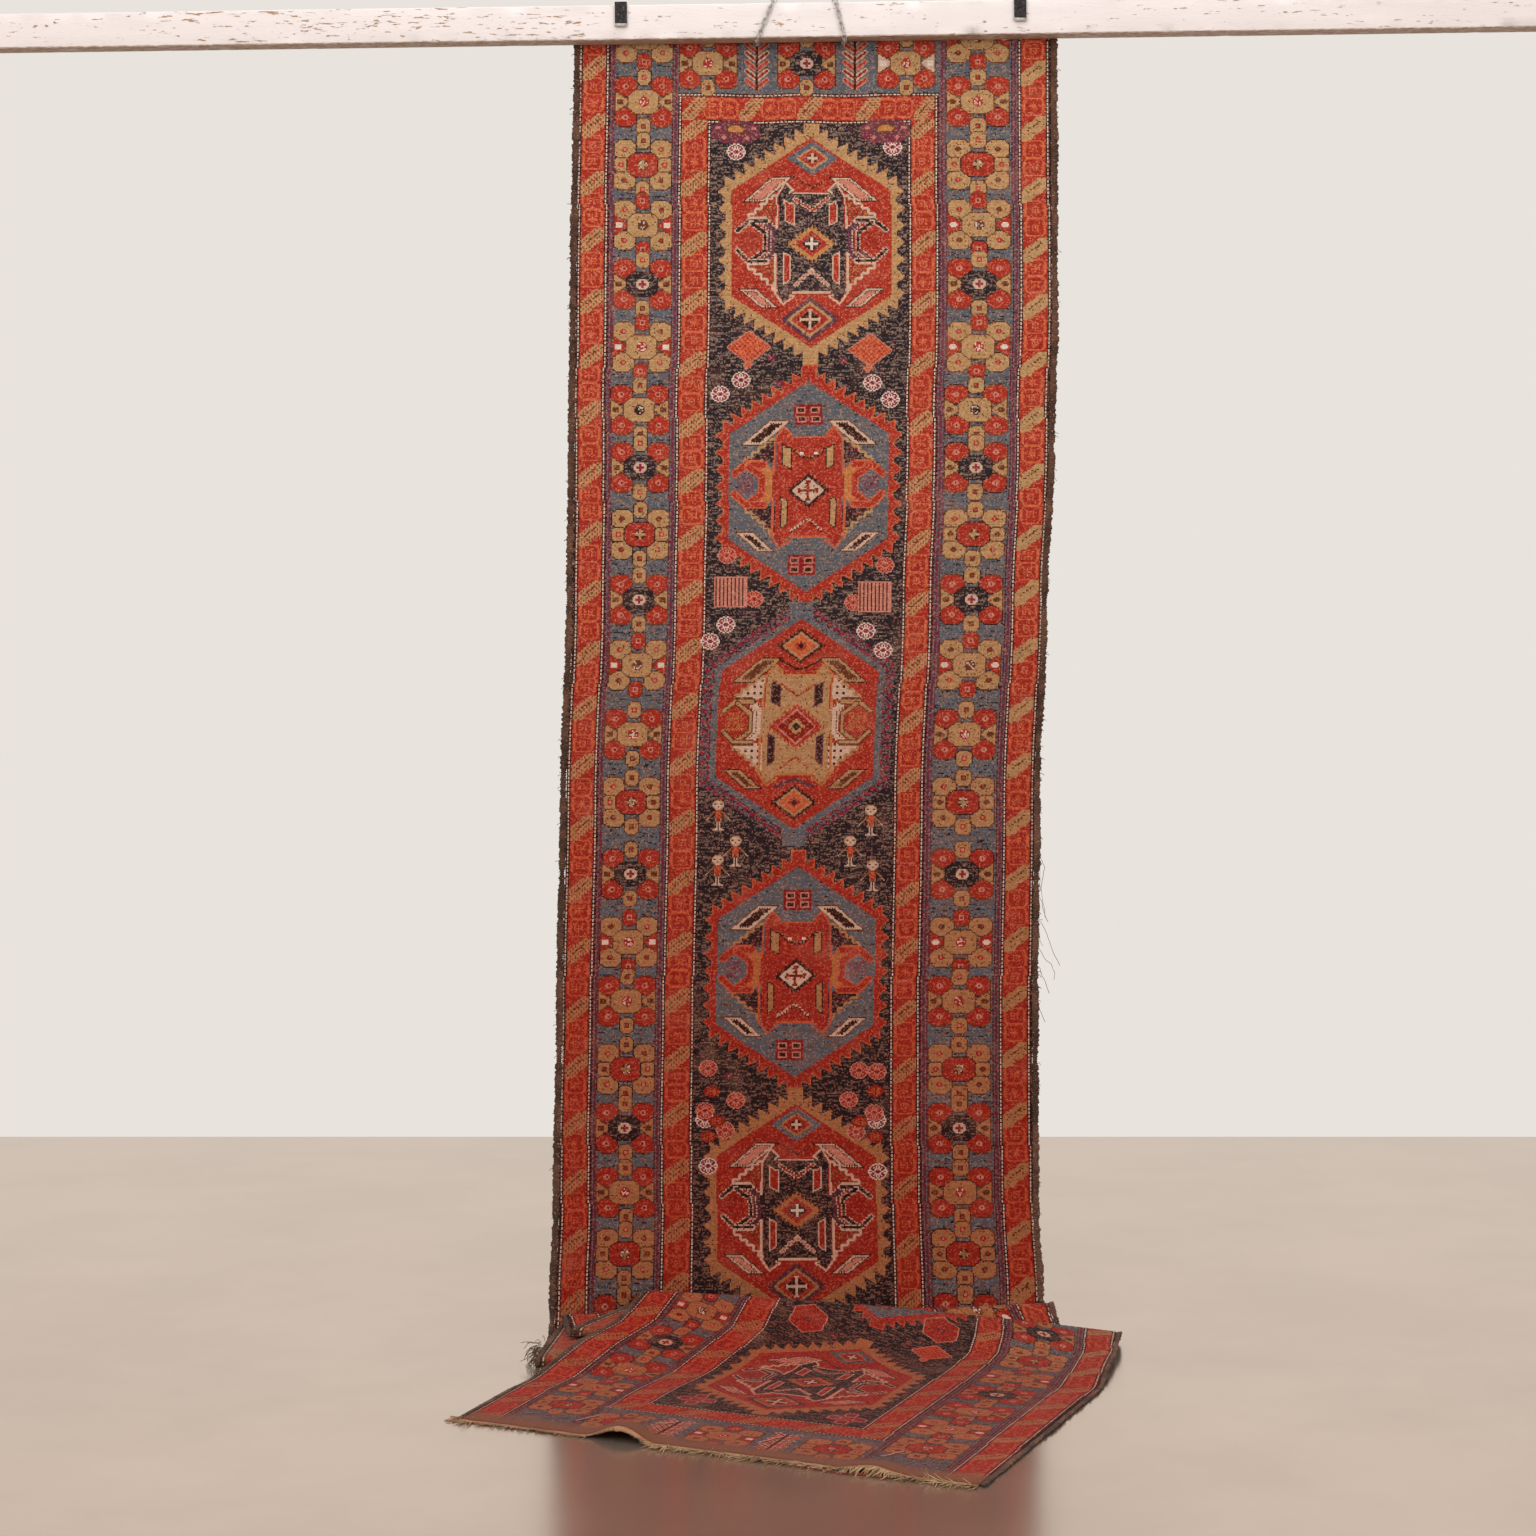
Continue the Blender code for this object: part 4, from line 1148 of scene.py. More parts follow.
def build_sheet(name, middle, normal, rows_in_blocks):
    """Face, back and rim in one mesh, with block coordinates, baking coordinates and dye attributes."""
    rows, columns = middle.shape[:2]
    count = rows * columns
    pile = normal * PILE_HALF
    vertices = np.concatenate([(middle + pile).reshape(-1, 3), (middle - pile).reshape(-1, 3)])
    grid = np.arange(count).reshape(rows, columns)
    rim_loops = []
    for line, turned in ((grid[:, 0], True), (grid[:, -1], False), (grid[0, :], False), (grid[-1, :], True)):
        corners = np.stack([line[:-1], line[1:], line[1:] + count, line[:-1] + count], axis=1)
        rim_loops.append(corners[:, ::-1] if turned else corners)
    faces = np.concatenate([quads(rows, columns, 0, False), quads(rows, columns, count, True)] + rim_loops)
    piece = new_piece(name, vertices.tolist(), faces.tolist())
    mesh = piece.data
    across = np.tile(np.arange(columns, dtype=float), rows)
    along = np.repeat(rows_in_blocks, columns)
    corner_points = faces.ravel() % count
    u, v = across[corner_points], along[corner_points]
    knots_map = mesh.uv_layers.new(name="knots")
    knots_map.data.foreach_set("uv", np.stack([u, v], axis=1).astype(np.float32).ravel())
    per_side = (rows - 1) * (columns - 1)
    face_v = np.repeat(v.reshape(-1, 4).mean(axis=1), 4)
    loop_face = np.repeat(np.arange(len(faces)), 4)
    share_u, share_v = u / (columns - 1), v / rows_in_blocks[-1]
    half = math.floor(rows_in_blocks[-1] / 2)
    second = face_v > half
    bake_u = np.where(second, 0.405, 0.005) + 0.39 * share_u
    bake_v = np.where(second, (v - half) / (rows_in_blocks[-1] - half), v / half) * 0.985 + 0.005
    back = (loop_face >= per_side) & (loop_face < 2 * per_side)
    bake_u = np.where(back, 0.805 + 0.19 * share_u, bake_u)
    bake_v = np.where(back, 0.005 + 0.985 * share_v, bake_v)
    rim = loop_face >= 2 * per_side
    lower = (faces.ravel() >= count).astype(float)
    side_rim = rim & (loop_face < 2 * per_side + 2 * (rows - 1))
    bake_u = np.where(side_rim, 0.3965 + 0.4 * (u > 1) + 0.007 * lower, bake_u)
    bake_v = np.where(side_rim, 0.005 + 0.985 * share_v, bake_v)
    end_rim = rim & ~side_rim
    bake_u = np.where(end_rim, 0.005 + 0.39 * share_u, bake_u)
    bake_v = np.where(end_rim, np.where(v > 1, 0.9925, 0.0005) + 0.003 * lower, bake_v)
    bake_map = mesh.uv_layers.new(name="OFBake")
    bake_map.data.foreach_set("uv", np.stack([bake_u, bake_v], axis=1).astype(np.float32).ravel())
    block_row = np.clip(np.floor(v.reshape(-1, 4).mean(axis=1)), 0, BLOCKS_ALONG - 1).astype(int)
    block_column = np.clip(np.floor(u.reshape(-1, 4).mean(axis=1)), 0, BLOCKS_ACROSS - 1).astype(int)
    for number, packed in enumerate(packed_knots(chart)):
        held_dyes = mesh.attributes.new(f"dyes_{number}", "FLOAT", "FACE")
        held_dyes.data.foreach_set("value", packed[block_row, block_column].astype(np.float32))
    reverse = mesh.attributes.new("reverse", "FLOAT", "FACE")
    reverse.data.foreach_set("value", back.reshape(-1, 4)[:, 0].astype(np.float32))
    mesh.shade_smooth()
    return piece


rug = build_sheet("knotted_rug", body_middle, body_normal, body_rows)
print("knotted rug:", 2 * len(rug.data.polygons), "triangles")

# %% [markdown]
# ## Writing materials as expressions
#
# A material is a small program made of nodes. To keep it readable, one class wraps a node's socket, so
# that `1 - mask` or `a * b` adds the Math nodes by itself. Every other node comes from one method.

# %% Sockets that add up


class Signal:
    """A number that changes over a surface. Python's operators on it add Math nodes."""

    def __init__(self, paint, socket):
        self.paint = paint
        self.socket = socket

    def maths(self, operation, *values):
        """Add one Math node that works on these values."""
        return self.paint.node("ShaderNodeMath", {"operation": operation}, dict(enumerate(values)))

    def __add__(self, other):
        return self.maths("ADD", self, other)

    def __mul__(self, other):
        return self.maths("MULTIPLY", self, other)

    def __sub__(self, other):
        return self.maths("SUBTRACT", self, other)

    def __rsub__(self, other):
        return self.maths("SUBTRACT", other, self)

    def __truediv__(self, other):
        return self.maths("DIVIDE", self, other)

    def __rpow__(self, other):
        return self.maths("POWER", other, self)

    def __mod__(self, other):
        return self.maths("FLOORED_MODULO", self, other)

    def __gt__(self, other):
        return self.maths("GREATER_THAN", self, other)

    __radd__ = __add__
    __rmul__ = __mul__

    def floor(self):
        """The whole part."""
        return self.maths("FLOOR", self)

    def part(self):
        """What is left over the whole part."""
        return self.maths("FRACT", self)

    def size(self):
        """The value without its sign."""
        return self.maths("ABSOLUTE", self)

    def ramp(self, low, high):
        """0 below the first value, 1 above the second, eased in between."""
        settings = {"interpolation_type": "SMOOTHSTEP"}
        values = {"Value": self, "From Min": low, "From Max": high}
        return self.paint.node("ShaderNodeMapRange", settings, values)


class Paint:
    """A material's node tree."""

    def __init__(self, name, roughness, metallic=0.0, sheen=0.0):
        self.material = bpy.data.materials.new(name)
        self.material.use_nodes = True
        self.tree = self.material.node_tree
        self.shader = self.tree.nodes["Principled BSDF"]
        self.shader.inputs["Roughness"].default_value = roughness
        self.shader.inputs["Metallic"].default_value = metallic
        self.shader.inputs["Sheen Weight"].default_value = sheen
        self.shader.inputs["Specular IOR Level"].default_value = 0.5 if metallic else 0.25

    def node(self, kind, settings=None, values=None, out=0):
        """Add any node: its settings first, then the values or links of its sockets."""
        made = self.tree.nodes.new(kind)
        for name, value in (settings or {}).items():
            if name == "stops":
                self.set_stops(made.color_ramp, value)
            elif name == "ramp_interpolation":
                made.color_ramp.interpolation = value
            else:
                setattr(made, name, value)
        for name, value in (values or {}).items():
            self.feed(made.inputs[name], value)
        return Signal(self, made.outputs[out])

    def set_stops(self, ramp, stops):
        """Put a colour ramp's stops where the list says."""
        while len(ramp.elements) < len(stops):
            ramp.elements.new(0.5)
        for element, (place, colour) in zip(ramp.elements, stops):
            element.position = place
            element.color = (*colour, 1.0)

    def feed(self, socket, value):
        """Link a signal to a socket, or set a plain value on it."""
        if isinstance(value, Signal):
            self.tree.links.new(value.socket, socket)
        else:
            socket.default_value = value

    def mix(self, share, first, second, blend="MIX"):
        """Mix two colours."""
        values = {0: share, 6: first, 7: second}
        return self.node("ShaderNodeMix", {"data_type": "RGBA", "blend_type": blend}, values, 2)

    def ramp(self, share, stops, steps="LINEAR"):
        """A colour ramp."""
        return self.node("ShaderNodeValToRGB", {"stops": stops, "ramp_interpolation": steps}, {0: share})

    def noise(self, place, scale, detail=2.0, roughness=0.5, dimensions="3D"):
        """Soft noise between about 0.2 and 0.8."""
        values = {"Vector": place, "Scale": scale, "Detail": detail, "Roughness": roughness}
        return self.node("ShaderNodeTexNoise", {"noise_dimensions": dimensions}, values)

    def grain(self, place, dimensions="2D"):
        """One even random number for each whole place."""
        return self.node("ShaderNodeTexWhiteNoise", {"noise_dimensions": dimensions}, {"Vector": place})

    def join(self, x, y, z=0.0):
        """Three numbers as one vector."""
        return self.node("ShaderNodeCombineXYZ", None, {0: x, 1: y, 2: z})

    def split(self, vector):
        """A vector's three numbers."""
        made = self.node("ShaderNodeSeparateXYZ", None, {0: vector})
        return [Signal(self, output) for output in made.socket.node.outputs]

    def place(self):
        """The surface's own place in the row frame."""
        return self.node("ShaderNodeTexCoord", None, None, "Object")

    def carried(self, name):
        """A number that the mesh's faces carry."""
        return self.node("ShaderNodeAttribute", {"attribute_name": name}, None, "Fac")

    def finish(self, colour, roughness=None, height=None, depth=0.001, strength=1.0):
        """Feed the shader."""
        self.feed(self.shader.inputs["Base Color"], colour)
        if roughness is not None:
            self.feed(self.shader.inputs["Roughness"], roughness)
        if height is not None:
            values = {"Height": height, "Distance": depth, "Strength": strength}
            self.feed(self.shader.inputs["Normal"], self.node("ShaderNodeBump", None, values))
        return self.material


def linear(colour):
    """An sRGB colour of 0 to 255 as the linear numbers that shaders use."""
    shares = [value / 255 for value in colour]
    return tuple(share / 12.92 if share <= 0.04045 else ((share + 0.055) / 1.055) ** 2.4 for share in shares)


def opaque(red, green, blue):
    """An sRGB colour of 0 to 255 as the four linear numbers of a colour socket, fully opaque."""
    return (*linear((red, green, blue)), 1.0)


print("paint is ready")

# %% [markdown]
# ## Wool
#
# Hand-dyed wool is never one flat colour. Every knot differs a little, whole rows drift where a new
# batch of yarn began, and this rug is more orange above and deeper red below. The pile is short and
# worn, so each knot shows as a small dome, in rows. The last few rows have lost their pile.

# %% The wool material


DEEPER = (0.72, 0.43, 0.38)
# Painted shade: this makes the stretch that lies on the floor darker and redder.
LYING_SHADE = (0.95, 0.66, 0.62)


def wool_material():
    """Unpack the dye of each knot, then age it, and paint shade on the stretch that lies on the floor."""
    paint = Paint("knotted wool", 0.93, sheen=0.04)
    paint.shader.inputs["Specular IOR Level"].default_value = 0.12
    across, along, _ = paint.split(paint.node("ShaderNodeUVMap", {"uv_map": "knots"}))
    column = (across * 4.0).floor()
    row = (along * 4.0).floor()
    number = (column % 4.0) + 4.0 * (row % 4.0)
    group = (number / 6.0).floor()
    place = number - 6.0 * group
    packs = [paint.carried(f"dyes_{third}") for third in range(3)]
    second = group.maths("COMPARE", group, 1.0, 0.5)
    third = group.maths("COMPARE", group, 2.0, 0.5)
    pack = packs[0] * (1 - second - third) + packs[1] * second + packs[2] * third
    power = ((16.0 ** place) + 0.5).floor()
    dye = (pack / power).floor() % 16.0
    stops = [(number / len(DYES), linear(dye.colour)) for number, dye in enumerate(DYES)]
    colour = paint.ramp((dye + 0.5) / 16.0, stops, "CONSTANT")
    each = paint.grain(paint.join(column, row))
    every_row = paint.grain(paint.join(row, 3.0))
    drift = paint.noise(paint.join(across * 0.012, along * 0.16), 1.0, 3.0)
    patch = paint.noise(paint.join(across * 0.10, along * 0.10), 1.0, 4.0, 0.6)
    streaks = paint.noise(paint.join(across * 0.9, along * 3.6), 1.0, 2.0, 0.6)
    shade = 0.30 + each * 0.26 + every_row * 0.12 + drift * 0.12 + streaks * 0.32
    colour = paint.mix(1.0, colour, paint.join(shade, shade, shade), "MULTIPLY")
    fibres = (each > 0.86) * 0.26 + streaks.ramp(0.56, 0.70) * 0.16
    colour = paint.mix(fibres, colour, opaque(206, 158, 132))
    # Painted shade: the stretch that lies on the floor is made darker and redder, to take back the pale sheen
    # it catches at a grazing view.
    lying = (along / BLOCKS_ALONG).ramp(0.79, 0.83)
    colour = paint.mix(lying * 0.8, colour, paint.mix(1.0, colour, (*LYING_SHADE, 1.0), "MULTIPLY"))
    pale = sum((dye.maths("COMPARE", dye, float(DYE[letter]), 0.5) for letter in "iswg"), 0.0)
    lower = (along / BLOCKS_ALONG).ramp(0.16, 0.62) * (1 - pale * 0.45)
    colour = paint.mix(lower, colour, paint.mix(1.0, colour, (*DEEPER, 1.0), "MULTIPLY"))
    fading = patch.ramp(0.52, 0.75) * 0.13
    colour = paint.mix(fading, colour, opaque(186, 128, 104))
    worn = (along + (patch - 0.5) * 5.0).ramp(BLOCKS_ALONG - 7.0, BLOCKS_ALONG - 2.5)
    colour = paint.mix(worn * 0.75, colour, opaque(118, 72, 52))
    colour = paint.mix(paint.carried("reverse") * 0.22, colour, opaque(120, 92, 74))
    dome_x = ((across * 4.0).part() - 0.5).size()
    dome_y = ((along * 4.0).part() - 0.5).size()
    fuzz = paint.noise(paint.join(across * 9.0, along * 9.0), 1.0, 2.0)
    height = 1.0 - dome_x * 0.7 - dome_y * 1.5 + each * 0.7 + fuzz * 0.6
    return paint.finish(colour, None, height, 0.0006, 0.8)


wool = wool_material()
rug.data.materials.append(wool)
print("wool:", len(wool.node_tree.nodes), "nodes")

# %% [markdown]
# ## Things that repeat along a path
#
# Overcast edges, fringe strands and chain links are all one small shape repeated along a line. Geometry
# Nodes does this well. One small tree takes a guide line, steps along it, and puts the shape at each
# step, turned to follow two directions that the guide carries. A second tree turns a line into a round
# thread. Each result is then made a plain mesh.

# %% A wrapper for Geometry Nodes trees


class Flow:
    """A Geometry Nodes tree with named inputs."""

    def __init__(self, name):
        self.tree = bpy.data.node_groups.new(name, "GeometryNodeTree")
        self.tree.interface.new_socket("Geometry", in_out="INPUT", socket_type="NodeSocketGeometry")
        self.tree.interface.new_socket("Geometry", in_out="OUTPUT", socket_type="NodeSocketGeometry")
        self.entry = self.tree.nodes.new("NodeGroupInput")
        self.values = {}

    def size(self, name, kind, value):
        """Add a named input and remember its value for the modifier."""
        socket = self.tree.interface.new_socket(name, in_out="INPUT", socket_type=kind)
        self.values[socket.identifier] = value
        return self.entry.outputs[name]

    def node(self, kind, settings=None, values=None, out=0):
        """Add a node: its settings first, then the values or links of its sockets."""
        made = self.tree.nodes.new(kind)
        for name, value in (settings or {}).items():
            setattr(made, name, value)
        for name, value in (values or {}).items():
            if isinstance(value, bpy.types.NodeSocket):
                self.tree.links.new(value, made.inputs[name])
            else:
                made.inputs[name].default_value = value
        return made.outputs[out]

    def carried(self, name, kind="FLOAT_VECTOR"):
        """A value that the guide's points carry."""
        return self.node("GeometryNodeInputNamedAttribute", {"data_type": kind}, {"Name": name})

    def maths(self, operation, first, second):
        """One Math node."""
        return self.node("ShaderNodeMath", {"operation": operation}, {0: first, 1: second})

    def between(self, low, high, seed):
        """A random number between two values, for each place."""
        return self.node("FunctionNodeRandomValue", {"data_type": "FLOAT"}, {2: low, 3: high, 8: seed}, 1)

    def run(self, guide, result):
        """Put the tree on the guide, and return what it makes as a plain mesh object."""
        leave = self.tree.nodes.new("NodeGroupOutput")
        self.tree.links.new(result, leave.inputs[0])
        modifier = guide.modifiers.new(self.tree.name, "NODES")
        modifier.node_group = self.tree
        for identifier, value in self.values.items():
            modifier[identifier] = value
        bpy.context.view_layer.update()
        shown = guide.evaluated_get(bpy.context.evaluated_depsgraph_get())
        mesh = bpy.data.meshes.new_from_object(shown)
        guide.modifiers.remove(modifier)
        guide.data = mesh
        return guide


def guide_line(name, lines, carried=None):
    """A mesh of bare lines, whose points carry vectors or sizes."""
    edges = []
    start = 0
    for line in lines:
        edges += [(start + step, start + step + 1) for step in range(len(line) - 1)]
        start += len(line)
    guide = new_piece(name, [tuple(point) for line in lines for point in line], edges=edges)
    for key, values in (carried or {}).items():
        flat = np.concatenate([np.asarray(part, dtype=np.float32) for part in values])
        kind, field = ("FLOAT_VECTOR", "vector") if flat.ndim == 2 else ("FLOAT", "value")
        guide.data.attributes.new(key, kind, "POINT").data.foreach_set(field, flat.ravel())
    return guide


# %% Steps along a line, and round threads


def step_along(guide, element, material, spacing, every_other=0.0, twist=0.0, spread=0.0, seed=1):
    """Repeat a small shape along the guide: its Z follows "along", its X follows "facing"."""
    flow = Flow(f"{guide.name} steps")
    gap = flow.size("Spacing", "NodeSocketFloat", spacing)
    turn = flow.size("Turn of every other one", "NodeSocketFloat", every_other)
    wobble = flow.size("Random twist", "NodeSocketFloat", twist)
    uneven = flow.size("Random size", "NodeSocketFloat", spread)
    chance = flow.size("Seed", "NodeSocketInt", seed)
    shape = flow.size("Shape", "NodeSocketObject", element)
    paint = flow.size("Material", "NodeSocketMaterial", material)
    curve = flow.node("GeometryNodeMeshToCurve", None, {"Mesh": flow.entry.outputs["Geometry"]})
    steps = flow.node("GeometryNodeResampleCurve", {"mode": "LENGTH"}, {"Curve": curve, "Length": gap})
    base = flow.node("FunctionNodeAxesToRotation", {"primary_axis": "Z", "secondary_axis": "X"},
                     {"Primary Axis": flow.carried("along"), "Secondary Axis": flow.carried("facing")})
    turned = flow.maths("MULTIPLY", flow.maths("MODULO", flow.node("GeometryNodeInputIndex"), 2.0), turn)
    random_turn = flow.between(flow.maths("MULTIPLY", wobble, -1.0), wobble, chance)
    angle = flow.maths("ADD", turned, random_turn)
    roll = flow.node("FunctionNodeAxisAngleToRotation", None, {"Axis": (0, 0, 1), "Angle": angle})
    rotation = flow.node("FunctionNodeRotateRotation", {"rotation_space": "LOCAL"},
                         {"Rotation": base, "Rotate By": roll})
    random_size = flow.between(flow.maths("SUBTRACT", 1.0, uneven), flow.maths("ADD", 1.0, uneven), chance)
    size = flow.maths("MULTIPLY", random_size, flow.carried("size", "FLOAT"))
    source = flow.node("GeometryNodeObjectInfo", None, {"Object": shape}, 4)
    placed = flow.node("GeometryNodeInstanceOnPoints", None,
                       {"Points": steps, "Instance": source, "Rotation": rotation, "Scale": size})
    real = flow.node("GeometryNodeRealizeInstances", None, {"Geometry": placed})
    painted = flow.node("GeometryNodeSetMaterial", None, {"Geometry": real, "Material": paint})
    piece = flow.run(guide, painted)
    bpy.data.objects.remove(element)
    return piece


def thread_along(guide, material, radius, corners=5):
    """Turn every line of the guide into a round thread with closed ends."""
    flow = Flow(f"{guide.name} threads")
    thickness = flow.size("Radius", "NodeSocketFloat", radius)
    paint = flow.size("Material", "NodeSocketMaterial", material)
    curve = flow.node("GeometryNodeMeshToCurve", None, {"Mesh": flow.entry.outputs["Geometry"]})
    circle = flow.node("GeometryNodeCurvePrimitiveCircle", None, {"Resolution": corners, "Radius": thickness})
    tube = flow.node("GeometryNodeCurveToMesh", None,
                     {"Curve": curve, "Profile Curve": circle, "Fill Caps": True})
    real = flow.node("GeometryNodeRealizeInstances", None, {"Geometry": tube})
    painted = flow.node("GeometryNodeSetMaterial", None, {"Geometry": real, "Material": paint})
    return flow.run(guide, painted)


def tube_shape(name, stems, around):
    """One or more closed stems, each a stack of rings: (centre, half width along X, half width along Y)."""
    points = []
    faces = []
    for rings in stems:
        start = len(points)
        for (x, y, z), half_x, half_y in rings:
            for step in range(around):
                turn = 2 * math.pi * step / around
                points.append((x + half_x * math.cos(turn), y + half_y * math.sin(turn), z))
        for ring in range(len(rings) - 1):
            for step in range(around):
                after = (step + 1) % around
                low, high = start + ring * around, start + (ring + 1) * around
                faces.append((low + step, low + after, high + after, high + step))
        faces.append(tuple(range(start, start + around))[::-1])
        faces.append(tuple(range(len(points) - around, len(points))))
    shape = new_piece(name, points, faces)
    shape.data.shade_smooth()
    return shape


def finish_piece(piece, slot, *nodes, smooth=True):
    """Give a piece the nodes that it stands for, and the body it moves with. The slot is not used."""
    if smooth:
        piece.data.shade_smooth()
    if nodes:
        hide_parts(*nodes)
    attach(piece, BODY)
    print(f"{piece.name}: {sum(len(face.vertices) - 2 for face in piece.data.polygons)} triangles")
    return piece


# %% [markdown]
# ## Hair, cotton, paint and steel
#
# The long edges are wrapped with dark goat hair, the fringe is undyed cotton gone cream with age, the
# beam wears old white paint that flakes off in short streaks along the grain, and the fittings are
# plain steel, one kind blackened and one zinc plated.

# %% Fibre materials


def fibre_material(name, dark, light, scale, roughness=0.9):
    """Spun fibre: fine strands, and slow patches where it has faded."""
    paint = Paint(name, roughness, sheen=0.08)
    place = paint.place()
    patches = paint.noise(place, 22.0, 3.0)
    strands = paint.noise(place, scale, 3.0, 0.7)
    share = (patches.ramp(0.35, 0.7) * 0.5 + strands.ramp(0.3, 0.75) * 0.5)
    colour = paint.mix(share, opaque(*dark), opaque(*light))
    flecks = paint.noise(place, scale * 0.45, 2.0).ramp(0.62, 0.70)
    colour = paint.mix(flecks * 0.5, colour, opaque(182, 146, 118))
    return paint.finish(colour, None, strands + patches, 0.0008, 0.7)


goat_hair = fibre_material("dark goat hair", (40, 28, 24), (112, 78, 62), 620.0)
cotton = fibre_material("undyed cotton", (128, 96, 66), (204, 172, 132), 420.0)
worn_web = fibre_material("worn plain weave", (104, 66, 50), (178, 132, 100), 420.0)
red_yarn = fibre_material("loose red weft", (112, 34, 26), (176, 66, 46), 420.0)
print("fibres are ready")

# %% Old paint and steel


def old_paint_material():
    """White paint over brown wood. It has come off in short streaks, most of all left of the middle."""
    paint = Paint("old white paint", 0.62)
    place = paint.place()
    x, y, z = paint.split(place)
    height = z + 0.302 - (x + 0.093) * math.tan(math.radians(0.80))
    long_grain = paint.noise(paint.join(x * 34.0, y * 120.0, z * 170.0), 1.0, 4.0, 0.65)
    fine_grain = paint.noise(paint.join(x * 60.0, y * 260.0, z * 420.0), 1.0, 3.0, 0.7)
    regions = paint.noise(paint.join(x * 4.0, y * 8.0, z * 20.0), 1.0, 3.0)
    busy = x.ramp(-1.45, -1.20) * (1 - x.ramp(-0.55, -0.36))
    need = 0.655 - busy * 0.060 - (regions - 0.5) * 0.26
    flaked = (long_grain - need).ramp(0.0, 0.03) * fine_grain.ramp(0.30, 0.48)
    arris = (1 - height.size().ramp(0.0012, 0.0042)) * fine_grain.ramp(0.36, 0.6)
    bare = flaked.maths("MAXIMUM", flaked, arris * 0.85)
    wood = paint.ramp(fine_grain, [(0.25, linear((106, 72, 46))), (0.5, linear((168, 128, 92))),
                                   (0.8, linear((150, 142, 134)))])
    white = paint.mix(regions, opaque(209, 202, 202), opaque(226, 219, 219))
    scuffs = (fine_grain.ramp(0.58, 0.74)) * 0.22
    white = paint.mix(scuffs, white, opaque(176, 140, 116))
    colour = paint.mix(bare, white, wood)
    # Painted shade: the beam's underside is mixed towards a darker warm tan.
    underside_shade = 1 - height.ramp(-0.0006, 0.0012)
    colour = paint.mix(underside_shade * 0.45, colour, opaque(176, 150, 118))
    relief = fine_grain * 0.4 + long_grain * 0.6 - bare * 0.8
    return paint.finish(colour, 0.55 + bare * 0.3, relief, 0.0012, 0.8)


def steel_material(name, dark, light, roughness, metallic, wear):
    """Steel with fine scratches, dull spots and worn places."""
    paint = Paint(name, roughness, metallic=metallic)
    place = paint.place()
    spots = paint.noise(place, 160.0, 4.0, 0.6)
    scratches = paint.noise(place, 900.0, 2.0, 0.6)
    colour = paint.mix(spots.ramp(0.35, 0.65), opaque(*dark), opaque(*light))
    colour = paint.mix(spots.ramp(0.62, 0.7) * wear, colour, opaque(168, 162, 156))
    return paint.finish(colour, roughness - 0.1 + spots * 0.25, scratches + spots, 0.0003, 0.5)


old_paint = old_paint_material()
black_steel = steel_material("blackened steel", (44, 43, 45), (80, 77, 78), 0.48, 0.75, 0.5)
zinc = steel_material("zinc plated steel", (176, 174, 170), (224, 222, 218), 0.42, 0.7, 0.3)
print("paint and steel are ready")

# %% [markdown]
# ## Overcast edges
#
# A weaver binds the outer warps with goat hair wound round and round, so that the rug doesn't fray. The
# edge is a guide line that follows the cloth, with one flattened turn of yarn every few millimetres.
# Uneven turns and small twists give it the ragged outline of the real one.

# %% Both selvedges
OVERCAST_MIDDLE = 0.0079
TURN_SPACING = 0.0052
EDGE_STEPS = 1500
SWAY_STEPS = 24


def selvedge(side):
    """Turns of goat hair down one long edge."""
    inner = OVERCAST_MIDDLE / RUG_WIDTH
    share = inner if side == "left" else 1 - inner
    woven = np.linspace(0.001, RUG_LENGTH - 0.004, EDGE_STEPS)
    line = cloth_points(share, woven)
    nearer = cloth_points(share + (0.01 if side == "left" else -0.01), woven)
    along = np.gradient(line, axis=0)
    across = (nearer - line) * (1 if side == "left" else -1)
    facing = np.cross(along, across)
    along /= np.linalg.norm(along, axis=1, keepdims=True)
    facing /= np.linalg.norm(facing, axis=1, keepdims=True)
    line[:, 2] = np.maximum(line[:, 2], FLOOR_Z + 0.0034)
    sway = np.convolve(dice.normal(0, 1, EDGE_STEPS), np.ones(SWAY_STEPS) / SWAY_STEPS, "same")
    size = (0.98 + 0.34 * sway) * np.where(woven > 2.80, 0.72, 1.0)
    line += across / np.linalg.norm(across, axis=1, keepdims=True) * (0.0016 * sway)[:, None]
    guide = guide_line(f"overcast_{side}", [line], {"along": [along], "facing": [facing], "size": [size]})
    rings = [((0, 0, -0.0040), 0.0012, 0.0050), ((0, 0.0003, -0.0020), 0.0029, 0.0083),
             ((0, 0, 0.0016), 0.0031, 0.0087), ((0, 0, 0.0040), 0.0014, 0.0054)]
    turn = tube_shape("turn of yarn", [rings], 9)
    piece = step_along(guide, turn, goat_hair, TURN_SPACING, twist=0.34, spread=0.20, seed=5)
    return finish_piece(piece, "dark_goat_hair", f"selvedge_{side}")


selvedges = [selvedge(side) for side in ("left", "right")]

# %% Loose threads of the edges


def falling_thread(start, length, lean, seed):
    """A thread that curls a little as it hangs, and stops on the floor."""
    chance = np.random.default_rng(seed)
    steps = max(6, int(length / 0.006))
    heading = np.array(lean, dtype=float)
    points = [np.array(start, dtype=float)]
    for _ in range(steps):
        heading = heading * 0.86 + np.array([0, 0, -0.16]) + chance.normal(0, 0.14, 3)
        after = points[-1] + heading / np.linalg.norm(heading) * length / steps
        after[2] = max(after[2], FLOOR_Z + 0.0012)
        points.append(after)
    return points


def cloth_place(share, down):
    """One point of the cloth's middle."""
    return cloth_points(share, np.array([down]))[0]


